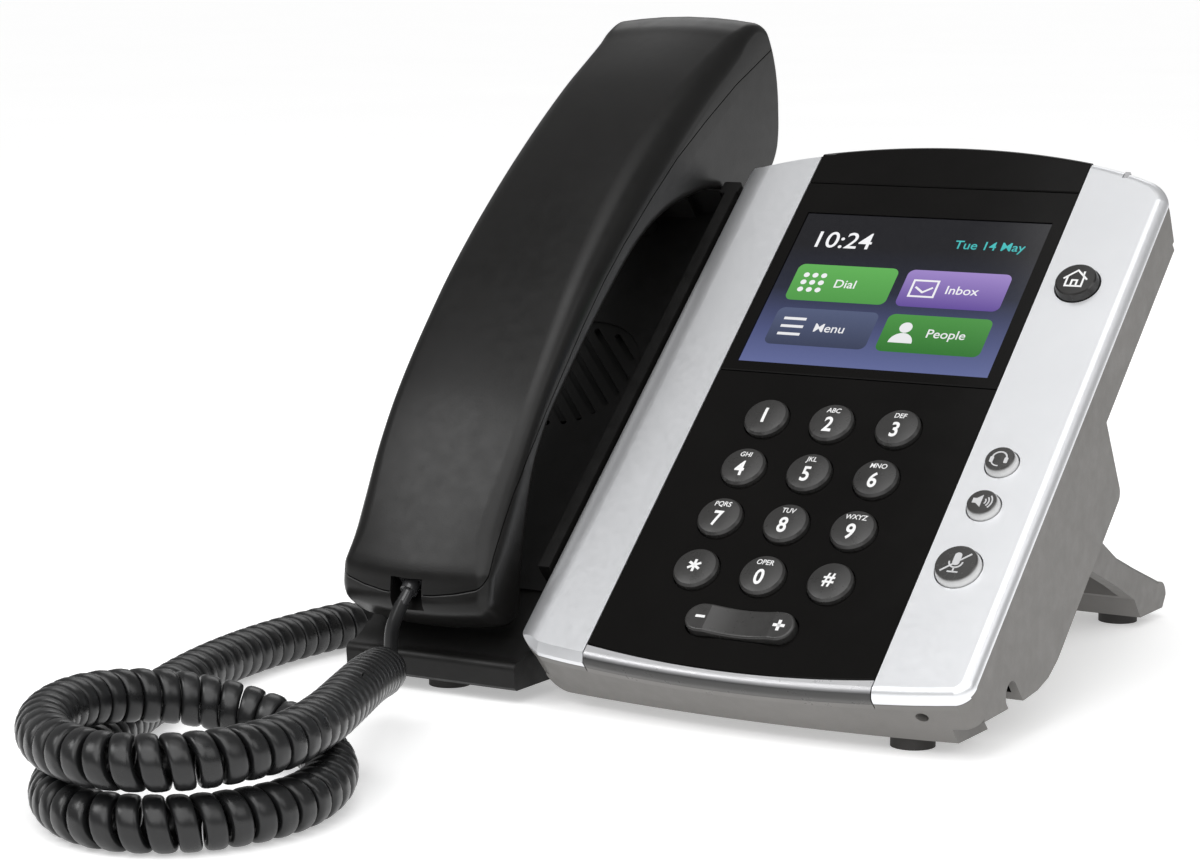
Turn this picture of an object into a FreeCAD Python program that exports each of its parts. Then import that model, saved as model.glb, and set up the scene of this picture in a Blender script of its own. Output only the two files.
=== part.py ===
import FreeCAD, Part
import Sketcher
import math
import os

V = FreeCAD.Vector
Rotation = FreeCAD.Rotation
Placement = FreeCAD.Placement

doc = FreeCAD.newDocument("desk_phone")

# ---------------------------------------------------------------- dimensions
# Millimetres and degrees. The face lies in a plane that leans back from the
# desk; u runs right, v up along the face, w out of it, with the zero point at
# the centre of the screen on the face's surface.
TABLE = [
    ("face_lean", 42.07), ("screen_height", 101.2), ("shift_right", 25.695), ("shift_back", -4.455),
    ("face_half", 64.0), ("panel_half", 39.5), ("panel_thick", 3.0), ("seam_gap", 0.15),
    ("top_seam", 38.3), ("low_seam", -30.5),
    ("screen_wide", 71.6), ("screen_high", 54.2), ("lens_play", 0.15), ("lens_sink", 0.3),
    ("tub_back", -13.4), ("wall", 2.2), ("wedge_back", -38.2),
    ("housing_left", -114.5), ("housing_right", 63.4),
    ("cradle_left", -115.0), ("cradle_right", -63.2), ("cradle_floor", -12.0), ("cradle_under", -13.6),
    ("key_radius", 6.0), ("key_play", 0.35), ("key_middle", -0.5), ("column_pitch", 18.7),
    ("row_pitch", 16.6), ("first_row", -46.5), ("key_height", 2.15), ("key_travel", 1.2),
    ("rocker_v", -111.3), ("rocker_long", 30.0), ("rocker_wide", 8.5), ("rocker_play", 0.5),
    ("side_key_u", 49.0), ("small_key_base", 4.25), ("small_key_top", 3.8),
    ("large_key_base", 5.85), ("large_key_top", 5.4), ("side_key_height", 2.4),
    ("grille_u", -92.0), ("grille_v", -26.7), ("grille_radius", 20.0), ("grille_slot", 1.6),
    ("handset_right", -69.0), ("handset_wide", 46.4), ("handset_round", 4.0),
    ("stand_left", -95.0), ("stand_right", 38.0), ("foot_radius", 5.5),
    ("lead_radius", 1.9), ("coil_radius", 6.4),
]
sheet = doc.addObject("Spreadsheet::Sheet", "Dim")
NUM = {}
for row, (alias, value) in enumerate(TABLE, start=1):
    sheet.set("A%d" % row, alias)
    sheet.set("B%d" % row, repr(float(value)))
    sheet.setAlias("B%d" % row, alias)
    NUM[alias] = float(value)
doc.recompute()


class Size:
    """A number together with the sheet expression that gives it."""

    def __init__(self, value, text):
        self.value, self.text = value, text

    def __add__(self, other):
        other = size(other)
        return Size(self.value + other.value, "(%s + %s)" % (self.text, other.text))

    __radd__ = __add__

    def __neg__(self):
        return Size(-self.value, "(0 - %s)" % self.text)

    def __sub__(self, other):
        return self + (-size(other))

    def __rsub__(self, other):
        return size(other) + (-self)

    def __mul__(self, other):
        other = size(other)
        return Size(self.value * other.value, "(%s * %s)" % (self.text, other.text))

    __rmul__ = __mul__

    def bound(self):
        return "Dim." in self.text


def size(x):
    if isinstance(x, Size):
        return x
    return Size(float(x), "(%.6f)" % float(x))


def D(alias):
    return Size(NUM[alias], "Dim.%s" % alias)


def bind(obj, prop, x):
    x = size(x)
    setattr(obj, prop, x.value)
    if x.bound():
        obj.setExpression(prop, x.text)


# Two frames: the leaning face, and the flat desk with its zero point under the
# screen's centre.
LEAN = NUM["face_lean"]
FACE = Placement(V(NUM["shift_right"], NUM["shift_back"], NUM["screen_height"]), Rotation(V(1, 0, 0), LEAN))
DESK = Placement(V(NUM["shift_right"], NUM["shift_back"], 0), Rotation())
COS, SIN = math.cos(math.radians(LEAN)), math.sin(math.radians(LEAN))


def at(frame, x, y, z):
    return frame.multiply(Placement(V(x, y, z), Rotation()))


# ---------------------------------------------------------------- sketch help
def new_body(label, frame):
    body = doc.addObject("PartDesign::Body", label)
    body.Label = label
    body.Placement = frame
    return body


def new_sketch(body, role, offset):
    sk = body.newObject("Sketcher::SketchObject", body.Label + "_sketch")
    plane = [f for f in body.Origin.OriginFeatures if f.Role == role][0]
    sk.AttachmentSupport = [(plane, "")]
    sk.MapMode = "FlatFace"
    offset = size(offset)
    sk.AttachmentOffset = Placement(V(0, 0, offset.value), Rotation())
    if offset.bound():
        sk.setExpression("AttachmentOffset.Base.z", offset.text)
    return sk


def pin(sk, geo, pos, x, y):
    for kind, val in (("DistanceX", size(x)), ("DistanceY", size(y))):
        n = sk.addConstraint(Sketcher.Constraint(kind, -1, 1, geo, pos, val.value))
        if val.bound():
            sk.setExpression("Constraints[%d]" % n, val.text)


def circumcentre(a, b, c):
    d = 2 * (a[0] * (b[1] - c[1]) + b[0] * (c[1] - a[1]) + c[0] * (a[1] - b[1]))
    s = [p[0] ** 2 + p[1] ** 2 for p in (a, b, c)]
    x = (s[0] * (b[1] - c[1]) + s[1] * (c[1] - a[1]) + s[2] * (a[1] - b[1])) / d
    y = (s[0] * (c[0] - b[0]) + s[1] * (a[0] - c[0]) + s[2] * (b[0] - a[0])) / d
    return x, y, math.hypot(a[0] - x, a[1] - y), d > 0


def num(p):
    return size(p[0]).value, size(p[1]).value


def closed(sk, corners):
    """Closed outline. A corner is (x, y), or (x, y, mid_x, mid_y) when the edge
    that arrives at it is an arc through the middle point."""
    ends = []
    count = len(corners)
    for k in range(count):
        here, there = corners[k], corners[(k + 1) % count]
        a, b = num(here), num(there)
        if len(there) == 2:
            geo = sk.addGeometry(Part.LineSegment(V(a[0], a[1], 0), V(b[0], b[1], 0)), False)
            first, last = 1, 2
        else:
            mid = num(there[2:])
            x, y, r, ccw = circumcentre(a, mid, b)
            angle_a, angle_b = math.atan2(a[1] - y, a[0] - x), math.atan2(b[1] - y, b[0] - x)
            low, high = (angle_a, angle_b) if ccw else (angle_b, angle_a)
            while high <= low:
                high += 2 * math.pi
            geo = sk.addGeometry(Part.ArcOfCircle(Part.Circle(V(x, y, 0), V(0, 0, 1), r), low, high), False)
            first, last = (1, 2) if ccw else (2, 1)
            if math.hypot(b[0] - a[0], b[1] - a[1]) < 1.9 * r:
                sk.addConstraint(Sketcher.Constraint("Radius", geo, r))
        ends.append((geo, first, last))
    for k in range(count):
        geo, first, last = ends[k]
        nxt = ends[(k + 1) % count]
        sk.addConstraint(Sketcher.Constraint("Coincident", geo, last, nxt[0], nxt[1]))
    for k in range(count):
        geo, first, last = ends[k]
        pin(sk, geo, first, corners[k][0], corners[k][1])
    return sk


def rect(x0, y0, x1, y1):
    return [(x0, y0), (x1, y0), (x1, y1), (x0, y1)]


def circle(sk, x, y, r):
    r = size(r)
    geo = sk.addGeometry(Part.Circle(V(size(x).value, size(y).value, 0), V(0, 0, 1), r.value), False)
    pin(sk, geo, 3, x, y)
    n = sk.addConstraint(Sketcher.Constraint("Radius", geo, r.value))
    if r.bound():
        sk.setExpression("Constraints[%d]" % n, r.text)


def stadium(long, wide, angle=0.0, x=0.0, y=0.0):
    """Corners of a round-ended slot about (x, y)."""
    r, h = wide / 2.0, (long - wide) / 2.0
    c, s = math.cos(math.radians(angle)), math.sin(math.radians(angle))

    def turn(a, b):
        return x + a * c - b * s, y + a * s + b * c

    return [turn(-h, -r), turn(h, -r), turn(h, r) + turn(h + r, 0), turn(-h, r), ] , turn(-h - r, 0)


def slot(sk, long, wide, angle=0.0, x=0.0, y=0.0):
    corners, back = stadium(long, wide, angle, x, y)
    corners = [corners[0] + back] + corners[1:]
    return closed(sk, corners)


def volume(body):
    doc.recompute()
    return body.Shape.Volume


def pad(body, sk, length, reverse=False):
    f = body.newObject("PartDesign::Pad", body.Label + "_pad")
    f.Profile = sk
    f.Reversed = reverse
    bind(f, "Length", length)
    doc.recompute()
    sk.Visibility = False
    return f


def cut(body, sk, length, forward=True):
    before = volume(body)
    f = body.newObject("PartDesign::Pocket", body.Label + "_cut")
    f.Profile = sk
    f.Reversed = forward
    bind(f, "Length", length)
    after = volume(body)
    if not 0 < after < before - 1e-6:
        raise RuntimeError("a cut in %s takes nothing away (%g, %g)" % (body.Label, before, after))
    return f


def prism(label, frame, role, corners, low, length):
    body = new_body(label, frame)
    pad(body, closed(new_sketch(body, role, low), corners), length)
    return body


def add(body, role, corners, low, length):
    return pad(body, closed(new_sketch(body, role, low), corners), length)


def take(body, role, corners, low, length):
    return cut(body, closed(new_sketch(body, role, low), corners), length)


def take_circles(body, role, rounds, low, length):
    sk = new_sketch(body, role, low)
    for x, y, r in rounds:
        circle(sk, x, y, r)
    return cut(body, sk, length)


def names(shape, test):
    return ["Edge%d" % (i + 1) for i, e in enumerate(shape.Edges) if test(e)]


def dress(body, kind, test, amount):
    base = body.Tip
    edges = names(base.Shape, test)
    if not edges:
        raise RuntimeError("no edge to dress in %s" % body.Label)
    f = body.newObject("PartDesign::" + kind, body.Label + "_" + kind.lower())
    f.Base = (base, edges)
    bind(f, "Radius" if kind == "Fillet" else "Size", amount)
    doc.recompute()
    return f


def revolve(label, frame, profile):
    body = new_body(label, frame)
    sk = closed(new_sketch(body, "XZ_Plane", 0), profile)
    f = body.newObject("PartDesign::Revolution", label + "_turn")
    f.Profile = sk
    f.ReferenceAxis = (sk, ["V_Axis"])
    f.Angle = 360.0
    doc.recompute()
    return body


def box(label, frame, x0, y0, z0, dx, dy, dz):
    b = doc.addObject("Part::Box", label)
    b.Label = label
    b.Placement = at(frame, x0, y0, z0)
    bind(b, "Length", dx)
    bind(b, "Width", dy)
    bind(b, "Height", dz)
    return b


def rod(label, frame, x, y, z, r, length, axis="z"):
    c = doc.addObject("Part::Cylinder", label)
    c.Label = label
    turn = {"z": Rotation(), "y": Rotation(V(1, 0, 0), -90), "x": Rotation(V(0, 1, 0), 90)}[axis]
    c.Placement = frame.multiply(Placement(V(x, y, z), turn))
    bind(c, "Radius", r)
    bind(c, "Height", length)
    return c


def minus(label, base, tool):
    f = doc.addObject("Part::Cut", label)
    f.Label = label
    f.Base, f.Tool = base, tool
    return f


def plus(label, shapes):
    f = doc.addObject("Part::MultiFuse", label)
    f.Label = label
    f.Shapes = shapes
    return f


def group(label, members):
    f = doc.addObject("Part::Compound", label)
    f.Label = label
    f.Links = members
    return f


NODES = []


def keep(obj):
    NODES.append(obj)
    return obj


half, edge = D("panel_half"), D("face_half")
thick = D("panel_thick")
gap = D("seam_gap")

# ---------------------------------------------------------------- the face
# Columns and rows of the dial keys.
COLUMNS = [D("key_middle") - D("column_pitch"), D("key_middle"), D("key_middle") + D("column_pitch")]
ROWS = [D("first_row") - k * D("row_pitch") for k in range(4)]
KEYS = [["key_1", "key_2", "key_3"], ["key_4", "key_5", "key_6"], ["key_7", "key_8", "key_9"], ["key_star", "key_0", "key_hash"]]

# Black keypad plate with its round key holes and the slot of the volume rocker.
low = D("low_seam") - gap
plate = keep(prism("keypad_plate", FACE, "XY_Plane",
                   [(-half, low), (-half, -122.2), (half, -122.2, 0, -125.1), (half, low)], -thick, thick))
take_circles(plate, "XY_Plane", [(c, r, D("key_radius") + D("key_play")) for r in ROWS for c in COLUMNS], -thick - 1, thick + 2)
sk = new_sketch(plate, "XY_Plane", -thick - 1)
slot(sk, NUM["rocker_long"] + 2 * NUM["rocker_play"], NUM["rocker_wide"] + 2 * NUM["rocker_play"], 0, NUM["key_middle"], NUM["rocker_v"])
cut(plate, sk, thick + 2)
dress(plate, "Chamfer", lambda e: abs(e.CenterOfMass.z) < 1e-6 and (abs(e.CenterOfMass.y - NUM["low_seam"]) < 0.3 or e.CenterOfMass.y < -122.5), 0.25)

# Black frame around the screen.
frame = keep(prism("display_frame", FACE, "XY_Plane",
                   rect(-half, D("low_seam") + gap, half, D("top_seam") - gap), -thick, thick))
take(frame, "XY_Plane", rect(-0.5 * D("screen_wide"), -0.5 * D("screen_high"), 0.5 * D("screen_wide"), 0.5 * D("screen_high")), -thick - 1, thick + 2)
dress(frame, "Chamfer", lambda e: abs(e.CenterOfMass.z) < 1e-6 and abs(e.CenterOfMass.x) < 1e-6 and abs(e.CenterOfMass.y) > 29, 0.25)

# Screen glass and the display module behind it.
play = D("lens_play")
lens = keep(prism("display_lens", FACE, "XY_Plane",
                  rect(-0.5 * D("screen_wide") + play, -0.5 * D("screen_high") + play, 0.5 * D("screen_wide") - play, 0.5 * D("screen_high") - play),
                  -thick, thick - D("lens_sink")))
keep(box("lcd_module", FACE, -38.2, -30.1, -7.0, 76.4, 60.2, 4.0))

# Black cap above the screen, arched along its top edge.
cap = keep(prism("top_cap", FACE, "XY_Plane",
                 [(-half, D("top_seam") + gap), (half, D("top_seam") + gap), (half, 50.1), (-half, 50.1, 0, 54.0)], -thick, thick))
dress(cap, "Fillet", lambda e: abs(e.CenterOfMass.z) < 1e-6 and e.CenterOfMass.y > 51, 1.6)
dress(cap, "Chamfer", lambda e: abs(e.CenterOfMass.z) < 1e-6 and abs(e.CenterOfMass.y - NUM["top_seam"]) < 0.3, 0.25)

# Silver side strips. Their edges roll over, the left one in a wide curve, and
# a deeper lip closes them at the front.
SIDE_KEYS = [("home_key", 49.6, 5.9, "large"), ("headset_key", 49.1, -54.3, "small"),
             ("speaker_key", 49.0, -68.1, "small"), ("mute_key", 49.0, -87.3, "large")]
LAMP = (50.4, 44.3)


def strip(label, corners, hollow, kind, amount):
    body = prism(label, FACE, "XY_Plane", corners, -5.5, 5.5)
    dress(body, kind, lambda e: abs(e.CenterOfMass.z) < 1e-6 and not abs(abs(e.CenterOfMass.x) - 39.8) < 0.2, amount)
    take(body, "XY_Plane", hollow, -6.5, 3.5)
    return keep(body)


left = strip("left_trim", [(-39.8, 50.2), (-57.0, 45.2, -48.8, 48.0), (-62.9, 40.2, -61.3, 43.5), (-62.9, -115.0),
                           (-54.0, -125.2, -59.75, -120.95), (-39.8, -126.8, -47.0, -126.15)], rect(-57.0, -121.75, -30.0, 60.0), "Chamfer", 2.0)
take(left, "XZ_Plane", [(-54.0, 0.0), (-63.9, -8.6, -60.64, -2.52), (-75.0, -8.6), (-75.0, 3.0), (-54.0, 3.0)], -70, 210)
right = strip("right_trim", [(39.8, 50.2), (57.0, 44.9, 48.8, 47.9), (edge, 37.5, 61.6, 41.9), (edge, -118.6),
                             (60.4, -124.3, 63.0, -122.3), (39.8, -126.8, 50.0, -125.75)], rect(30.0, -121.75, 75.0, 60.0), "Fillet", 2.8)
take_circles(right, "XY_Plane", [(u, v, D(kind + "_key_base") + D("key_play")) for _, u, v, kind in SIDE_KEYS], -thick - 1, thick + 2)
take(right, "XY_Plane", rect(LAMP[0] - 0.8, LAMP[1], LAMP[0] + 0.8, LAMP[1] + 12), -thick - 1, thick + 2)
keep(box("message_lamp", FACE, LAMP[0] - 0.7, LAMP[1] + 0.1, -3.0, 1.4, 2.6, 2.5))

# Dark rolled strip that closes the face at the front.
roll = keep(prism("front_trim", FACE, "XY_Plane",
                  [(-half, -122.5), (half, -122.5, 0, -125.4), (half, -126.83), (-half, -126.83, 0, -128.7)], -5.5, 5.5))
dress(roll, "Fillet", lambda e: abs(e.CenterOfMass.z) < 1e-6 and e.CenterOfMass.y < -127, 2.6)

# ---------------------------------------------------------------- keys
key_r = D("key_radius")
for line, v in zip(KEYS, ROWS):
    for label, u in zip(line, COLUMNS):
        keep(revolve(label, at(FACE, u.value, v.value, 0),
                     [(0, -5.0), (key_r + 1.0, -5.0), (key_r + 1.0, -4.0), (key_r, -4.0), (key_r, 0.9),
                      (key_r - 0.5, 1.6), (0.5, D("key_height"), 2.8, 2.02), (0, D("key_height"))]))
for label, u, v, kind in SIDE_KEYS:
    base, top, tall = D(kind + "_key_base"), D(kind + "_key_top"), D("side_key_height")
    keep(revolve(label, at(FACE, u, v, 0),
                 [(0, -5.0), (base + 1.0, -5.0), (base + 1.0, -4.0), (base, -4.0), (base, 0.2),
                  (top, tall - 0.45), (top - 0.35, tall - 0.1), (0, tall)]))

# Volume rocker, dished across its middle, rocking about its centre.
rocker = new_body("volume_rocker", at(FACE, NUM["key_middle"], NUM["rocker_v"], 0))
sk = new_sketch(rocker, "XY_Plane", -4.2)
slot(sk, NUM["rocker_long"], NUM["rocker_wide"])
pad(rocker, sk, 6.2)
take_circles(rocker, "XZ_Plane", [(0, 41.0, 40.0)], -10, 20)
dress(rocker, "Fillet", lambda e: e.CenterOfMass.z > 0.9 and e.Length > 5, 0.7)
keep(rocker)

# Rubber mat and board under the keys, reaching up to the home key.
keep(prism("keypad_membrane", FACE, "XY_Plane",
           [(-30, -118), (57, -118), (57, 13.5), (42.3, 13.5), (42.3, -37.5), (-30, -37.5)], -7.8, 1.2))
keep(prism("keypad_board", FACE, "XY_Plane",
           [(-31, -119), (58, -119), (58, 14.5), (41.6, 14.5), (41.6, -36.5), (-31, -36.5)], -9.4, 1.6))

# ---------------------------------------------------------------- front housing
tub = prism("front_shell", FACE, "XY_Plane",
            [(-57.0, 44.5, -61.0, 43.0), (57.0, 44.5, 0, 53.7), (63.7, 37.4, 61.3, 41.6), (63.7, -118.5),
             (60.2, -124.05, 62.7, -122.1), (-54.0, -124.9, 0, -128.4), (-62.6, -115.2, -59.55, -120.75), (-62.6, 40.0)],
            D("tub_back"), -D("tub_back") - thick)
# The hollow behind the face, open at the back.
take(tub, "XY_Plane",
     [(-54.5, 36.6), (58.0, 36.6, 0, 45.4), (61.3, 34.0), (61.3, -117.5), (59.0, -119.6), (-54.5, -119.6)],
     D("tub_back") - 1, 1 - D("tub_back") - thick - D("wall"))
# Chin: a block below the face that stands on the front foot, rounded at its left.
add(tub, "XY_Plane", [(-55.6, -112.0), (56.5, -112.0), (56.5, -124.5), (-55.6, -124.6, 0, -128.4)], -34.0, 22.0)
take(tub, "YZ_Plane", [(-136.0, -8.70), (-106.0, -35.79), (-106.0, -50.0), (-136.0, -50.0)], -70, 140)
# Windows for the display, the dial keys and the side keys, and the rebates that take the strips' lips.
take(tub, "XY_Plane", rect(-38.5, -30.4, 38.5, 30.4), -9, 9)
take(tub, "XY_Plane", rect(-29.5, -118.3, 28.5, -38.0), -9, 9)
take(tub, "XY_Plane", rect(41.2, -96.0, 57.0, -47.2), -9, 9)
take_circles(tub, "XY_Plane", [(49.6, 5.9, 8.3)], -9, 9)
take(tub, "XY_Plane", rect(-75.0, -135.0, 75.0, -121.65), -5.6, 5)
take(tub, "XY_Plane", rect(-75.0, -135.0, -56.85, 60.0), -5.6, 5)
take_circles(tub, "XZ_Plane", [(50.4, -8.7, 2.8)], 118.0, 4.8)
take_circles(tub, "XZ_Plane", [(50.4, -8.7, 1.6)], 119.0, 12)
# The top slopes down towards the back.
SLOPE = 18.3
flat = math.cos(math.radians(SLOPE))
above = prism("top_slope", FACE.multiply(Placement(V(0, 0, -4.5), Rotation(V(1, 0, 0), -SLOPE))), "XY_Plane",
              [(-62.8, 40.0 * flat), (-57.0, 44.5 * flat, -61.0, 43.0 * flat), (57.0, 44.5 * flat, 0, 53.7 * flat),
               (63.9, 37.4 * flat, 61.3, 41.6 * flat), (75.0, 37.4 * flat), (75.0, 90.0), (-75.0, 90.0), (-75.0, 40.0 * flat)], 0, 30.0)
corner = prism("chin_corner", DESK, "XZ_Plane", [(-55.7, 8.7), (-50.6, 3.59, -54.2, 5.1), (-55.7, 3.0)], 60.0, 45.0)
keep(minus("front_housing", minus("front_block", tub, above), corner))
keep(rod("console_microphone", FACE, 50.4, -122.5, -8.7, 2.6, 3.0, "y"))

# ---------------------------------------------------------------- rear housing
back = keep(prism("rear_housing", FACE, "YZ_Plane",
                  [(46.0, -13.6), (46.0, -16.0), (-25.5, -16.0), (-30.8, D("wedge_back")), (-84.0, D("wedge_back")),
                   (-90.5, -36.9), (-96.6, -33.9), (-103.0, -29.2), (-121.4, -13.6)],
                  D("housing_left"), D("housing_right") - D("housing_left")))
# Bulge behind the cradle that gives the loudspeaker its depth.
add(back, "YZ_Plane", [(-1.0, -13.6), (-4.5, -33.0), (-33.0, -33.0), (-33.0, -13.6)], D("housing_left"), 50.0)
inner = D("housing_right") - D("housing_left") - 2 * D("wall")
take(back, "YZ_Plane",
     [(-28.3, -12.0), (-33.3, D("wedge_back") + D("wall")), (-83.6, D("wedge_back") + D("wall")), (-89.8, -34.8), (-95.4, -32.0),
      (-101.6, -27.4), (-119.5, -12.3), (-119.5, -12.0)], D("housing_left") + D("wall"), inner)
take(back, "YZ_Plane", [(-3.3, -12.0), (-6.5, -30.8), (-34.5, -30.8), (-34.5, -12.0)], D("housing_left") + D("wall"), 45.6)
# Room for the chin and for the cradle's own front block.
take(back, "YZ_Plane", rect(-140.0, -45.0, -111.7, -5.0), -55.9, 112.7)
take(back, "YZ_Plane", rect(-140.0, -45.0, -111.7, -5.0), -117.0, 55.5)
take(back, "YZ_Plane", rect(-140.0, -45.0, -116.0, -5.0), -61.6, 5.8)
# The top edge follows the front housing, and leaves room for the earpiece.
take(back, "XY_Plane", [(-63.9, 60.0), (-63.9, 39.0), (63.6, 34.2, 0, 46.5), (75.0, 34.2), (75.0, 60.0)], -20, 10)
take(back, "XY_Plane", rect(-125.0, 42.4, -63.9, 60.0), -20, 10)
# Posts that carry the main board.
sk = new_sketch(back, "XY_Plane", D("wedge_back") + 1.0)
for u, v in ((-46.0, -41.0), (54.0, -41.0), (-46.0, -86.0), (54.0, -86.0)):
    circle(sk, u, v, 3.0)
pad(back, sk, -D("wedge_back") - 1.0 - 23.6)
# Openings for the sockets, the screws and the cable on the right side.
JACKS = [(-2.0, -64.0, 16.0, 14.0), (20.0, -64.0, 16.0, 14.0)]
ROUND_JACKS = [("handset_jack", -97.0, -70.0), ("headset_jack", -78.0, -70.0)]
PANELS = [("network_panel", -14.0, -75.0, 55.0, -53.0), ("jack_panel", -106.0, -79.0, -69.0, -61.0)]
for _, u0, v0, u1, v1 in PANELS:
    take(back, "XY_Plane", rect(u0 - 0.15, v0 - 0.15, u1 + 0.15, v1 + 0.15), D("wedge_back") - 1, 1.1 + D("wall"))
SCREWS = [(-105.0, -45.0), (50.0, -45.0), (-62.0, -80.0), (30.0, -80.0)]
take_circles(back, "XY_Plane", [(u, v, 3.2) for u, v in SCREWS], D("wedge_back") - 1, 2)
take_circles(back, "XY_Plane", [(u, v, 1.65) for u, v in SCREWS], D("wedge_back") - 1, 6)
take(back, "YZ_Plane", [(-110.3, -21.6), (-103.7, -21.6, -107.0, -18.4), (-103.7, -33.0), (-110.3, -33.0)], 58.3, 10)
dress(back, "Fillet", lambda e: abs(e.CenterOfMass.x) < 80 and e.Length > 60 and abs(e.CenterOfMass.z - NUM["wedge_back"]) < 0.01 and abs(e.CenterOfMass.y + 30.8) < 0.1, 3.0)

screws = []
for u, v in SCREWS:
    head = rod("screw_head", FACE, u, v, -38.1, 3.0, 0.9)
    shank = rod("screw_shank", FACE, u, v, -37.4, 1.5, 7.4)
    screws.append(plus("screw", [head, shank]))
keep(group("housing_screws", screws))

# Panels let into the back, with the sockets' openings.
for label, u0, v0, u1, v1 in PANELS:
    panel = keep(prism(label, FACE, "XY_Plane", rect(u0, v0, u1, v1), D("wedge_back"), D("wall")))
    if label == "network_panel":
        for u, v, du, dv in JACKS:
            take(panel, "XY_Plane", rect(u - du / 2 - 0.2, v - dv / 2 - 0.2, u + du / 2 + 0.2, v + dv / 2 + 0.2), D("wedge_back") - 1, 5)
        take(panel, "XY_Plane", rect(36.8, -67.9, 51.2, -60.1), D("wedge_back") - 1, 5)
    else:
        for _, u, v in ROUND_JACKS:
            take(panel, "XY_Plane", rect(u - 6.2, v - 6.2, u + 6.2, v + 6.2), D("wedge_back") - 1, 5)

# Main board and the sockets it carries.
keep(box("main_board", FACE, -50.0, -90.0, -23.6, 108.0, 54.0, 1.6))
pair = []
for u, v, du, dv in JACKS:
    body = box("socket_body", FACE, u - du / 2, v - dv / 2, -38.0, du, dv, 14.4)
    hollow = box("socket_hollow", FACE, u - 5.9, v - 4.4, -39.0, 11.8, 8.2, 11.5)
    pair.append(minus("network_socket", body, hollow))
keep(group("network_jacks", pair))
keep(minus("usb_port", box("usb_shell", FACE, 37.0, -67.7, -38.0, 14.0, 7.4, 14.4), box("usb_hollow", FACE, 38.0, -66.4, -39.0, 12.0, 4.8, 10.0)))
for label, u, v in ROUND_JACKS:
    shell = box(label + "_shell", FACE, u - 6.0, v - 6.0, -38.0, 12.0, 12.0, 11.0)
    flange = box(label + "_flange", FACE, u - 7.5, v - 7.5, -36.0, 15.0, 15.0, 1.4)
    hollow = box(label + "_hollow", FACE, u - 4.0, v - 3.4, -39.0, 8.0, 6.8, 9.5)
    keep(minus(label, plus(label + "_solid", [shell, flange]), hollow))

# ---------------------------------------------------------------- cradle
cradle = keep(prism("cradle", FACE, "YZ_Plane",
                    [(43.8, D("cradle_floor")), (-116.5, D("cradle_floor")), (-124.2, -9.45, -120.9, -11.3), (-127.0, -10.0, -125.7, -9.15),
                     (-129.6, -13.4), (-129.4, -14.67), (-112.0, -30.37), (-112.0, D("cradle_under")), (43.8, D("cradle_under"))],
                    D("cradle_left"), D("cradle_right") - D("cradle_left")))
# Wall beside the silver strip, and the saddle under the earpiece.
add(cradle, "YZ_Plane", rect(-98.0, -12.5, 37.0, -3.3), -66.6, 3.4)
add(cradle, "YZ_Plane", [(34.0, -12.5), (34.0, -4.2), (36.2, -4.5), (43.4, -11.8), (43.4, -12.5)], -106.0, 28.0)
# Well for the mouthpiece, the sunk grille with its slots, and the hook's hole.
take(cradle, "XY_Plane", rect(-116.0, -115.5, -67.5, -99.5), -12.9, 5)
take_circles(cradle, "XY_Plane", [(D("grille_u"), D("grille_v"), D("grille_radius"))], -12.5, 5)
for k in range(-4, 5):
    offset = 4.1 * k
    reach = 2 * math.sqrt(17.6 ** 2 - offset ** 2)
    sk = new_sketch(cradle, "XY_Plane", -14.5)
    slot(sk, reach, NUM["grille_slot"], -45.0, NUM["grille_u"] + offset * math.cos(math.radians(45)), NUM["grille_v"] + offset * math.sin(math.radians(45)))
    cut(cradle, sk, 5)
take_circles(cradle, "XY_Plane", [(-92.0, 29.5, 3.4)], -15, 20)
keep(rod("hook_switch", FACE, -92.0, 29.5, -13.4, 3.0, 12.4))
speaker_rim = rod("speaker_rim", FACE, -92.0, -24.5, -17.0, 17.5, 3.2)
speaker_can = rod("speaker_can", FACE, -92.0, -24.5, -28.5, 12.0, 12.0)
keep(plus("loudspeaker", [speaker_rim, speaker_can]))

# ---------------------------------------------------------------- stand and feet
stand = keep(prism("stand", DESK, "YZ_Plane",
                   [(3.6, 51.5), (20.0, 45.6), (38.0, 37.8), (50.0, 31.8), (56.0, 28.3), (62.0, 24.9), (79.4, 18.2),
                    (99.4, 11.0), (103.4, 6.6, 102.4, 9.2), (101.0, 3.2), (84.0, 3.2), (79.0, 9.2), (65.4, 15.3), (49.0, 21.9), (30.0, 29.5),
                    (12.0, 36.0), (-8.9, 40.2)],
                   D("stand_left"), D("stand_right") - D("stand_left")))
for x0, x1 in ((-91.0, -60.0), (-56.0, -30.0), (-26.0, 1.0), (5.0, 34.0)):
    take(stand, "YZ_Plane", [(12.0, 45.4), (36.6, 34.8), (48.5, 28.8), (54.5, 25.4), (61.0, 21.7), (77.0, 15.5), (77.0, 0.0), (12.0, 0.0)], x0, x1 - x0)
dress(stand, "Fillet", lambda e: abs(e.CenterOfMass.x + 28.5) > 60 and e.Length > 15 and e.CenterOfMass.z > 11 and e.CenterOfMass.y > 66 and e.CenterOfMass.z > 34 - 0.27 * e.CenterOfMass.y - 1.0, 1.2)

foot = D("foot_radius")
keep(group("front_feet", [rod("foot_right", DESK, 41.6, -73.4, 0, foot, 3.6), rod("foot_left", DESK, -91.3, -74.4, 0, foot, 3.6)]))
keep(group("rear_feet", [rod("foot_back_right", DESK, 28.0, 92.0, 0, foot, 3.2), rod("foot_back_left", DESK, -85.0, 92.0, 0, foot, 3.2)]))

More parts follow.
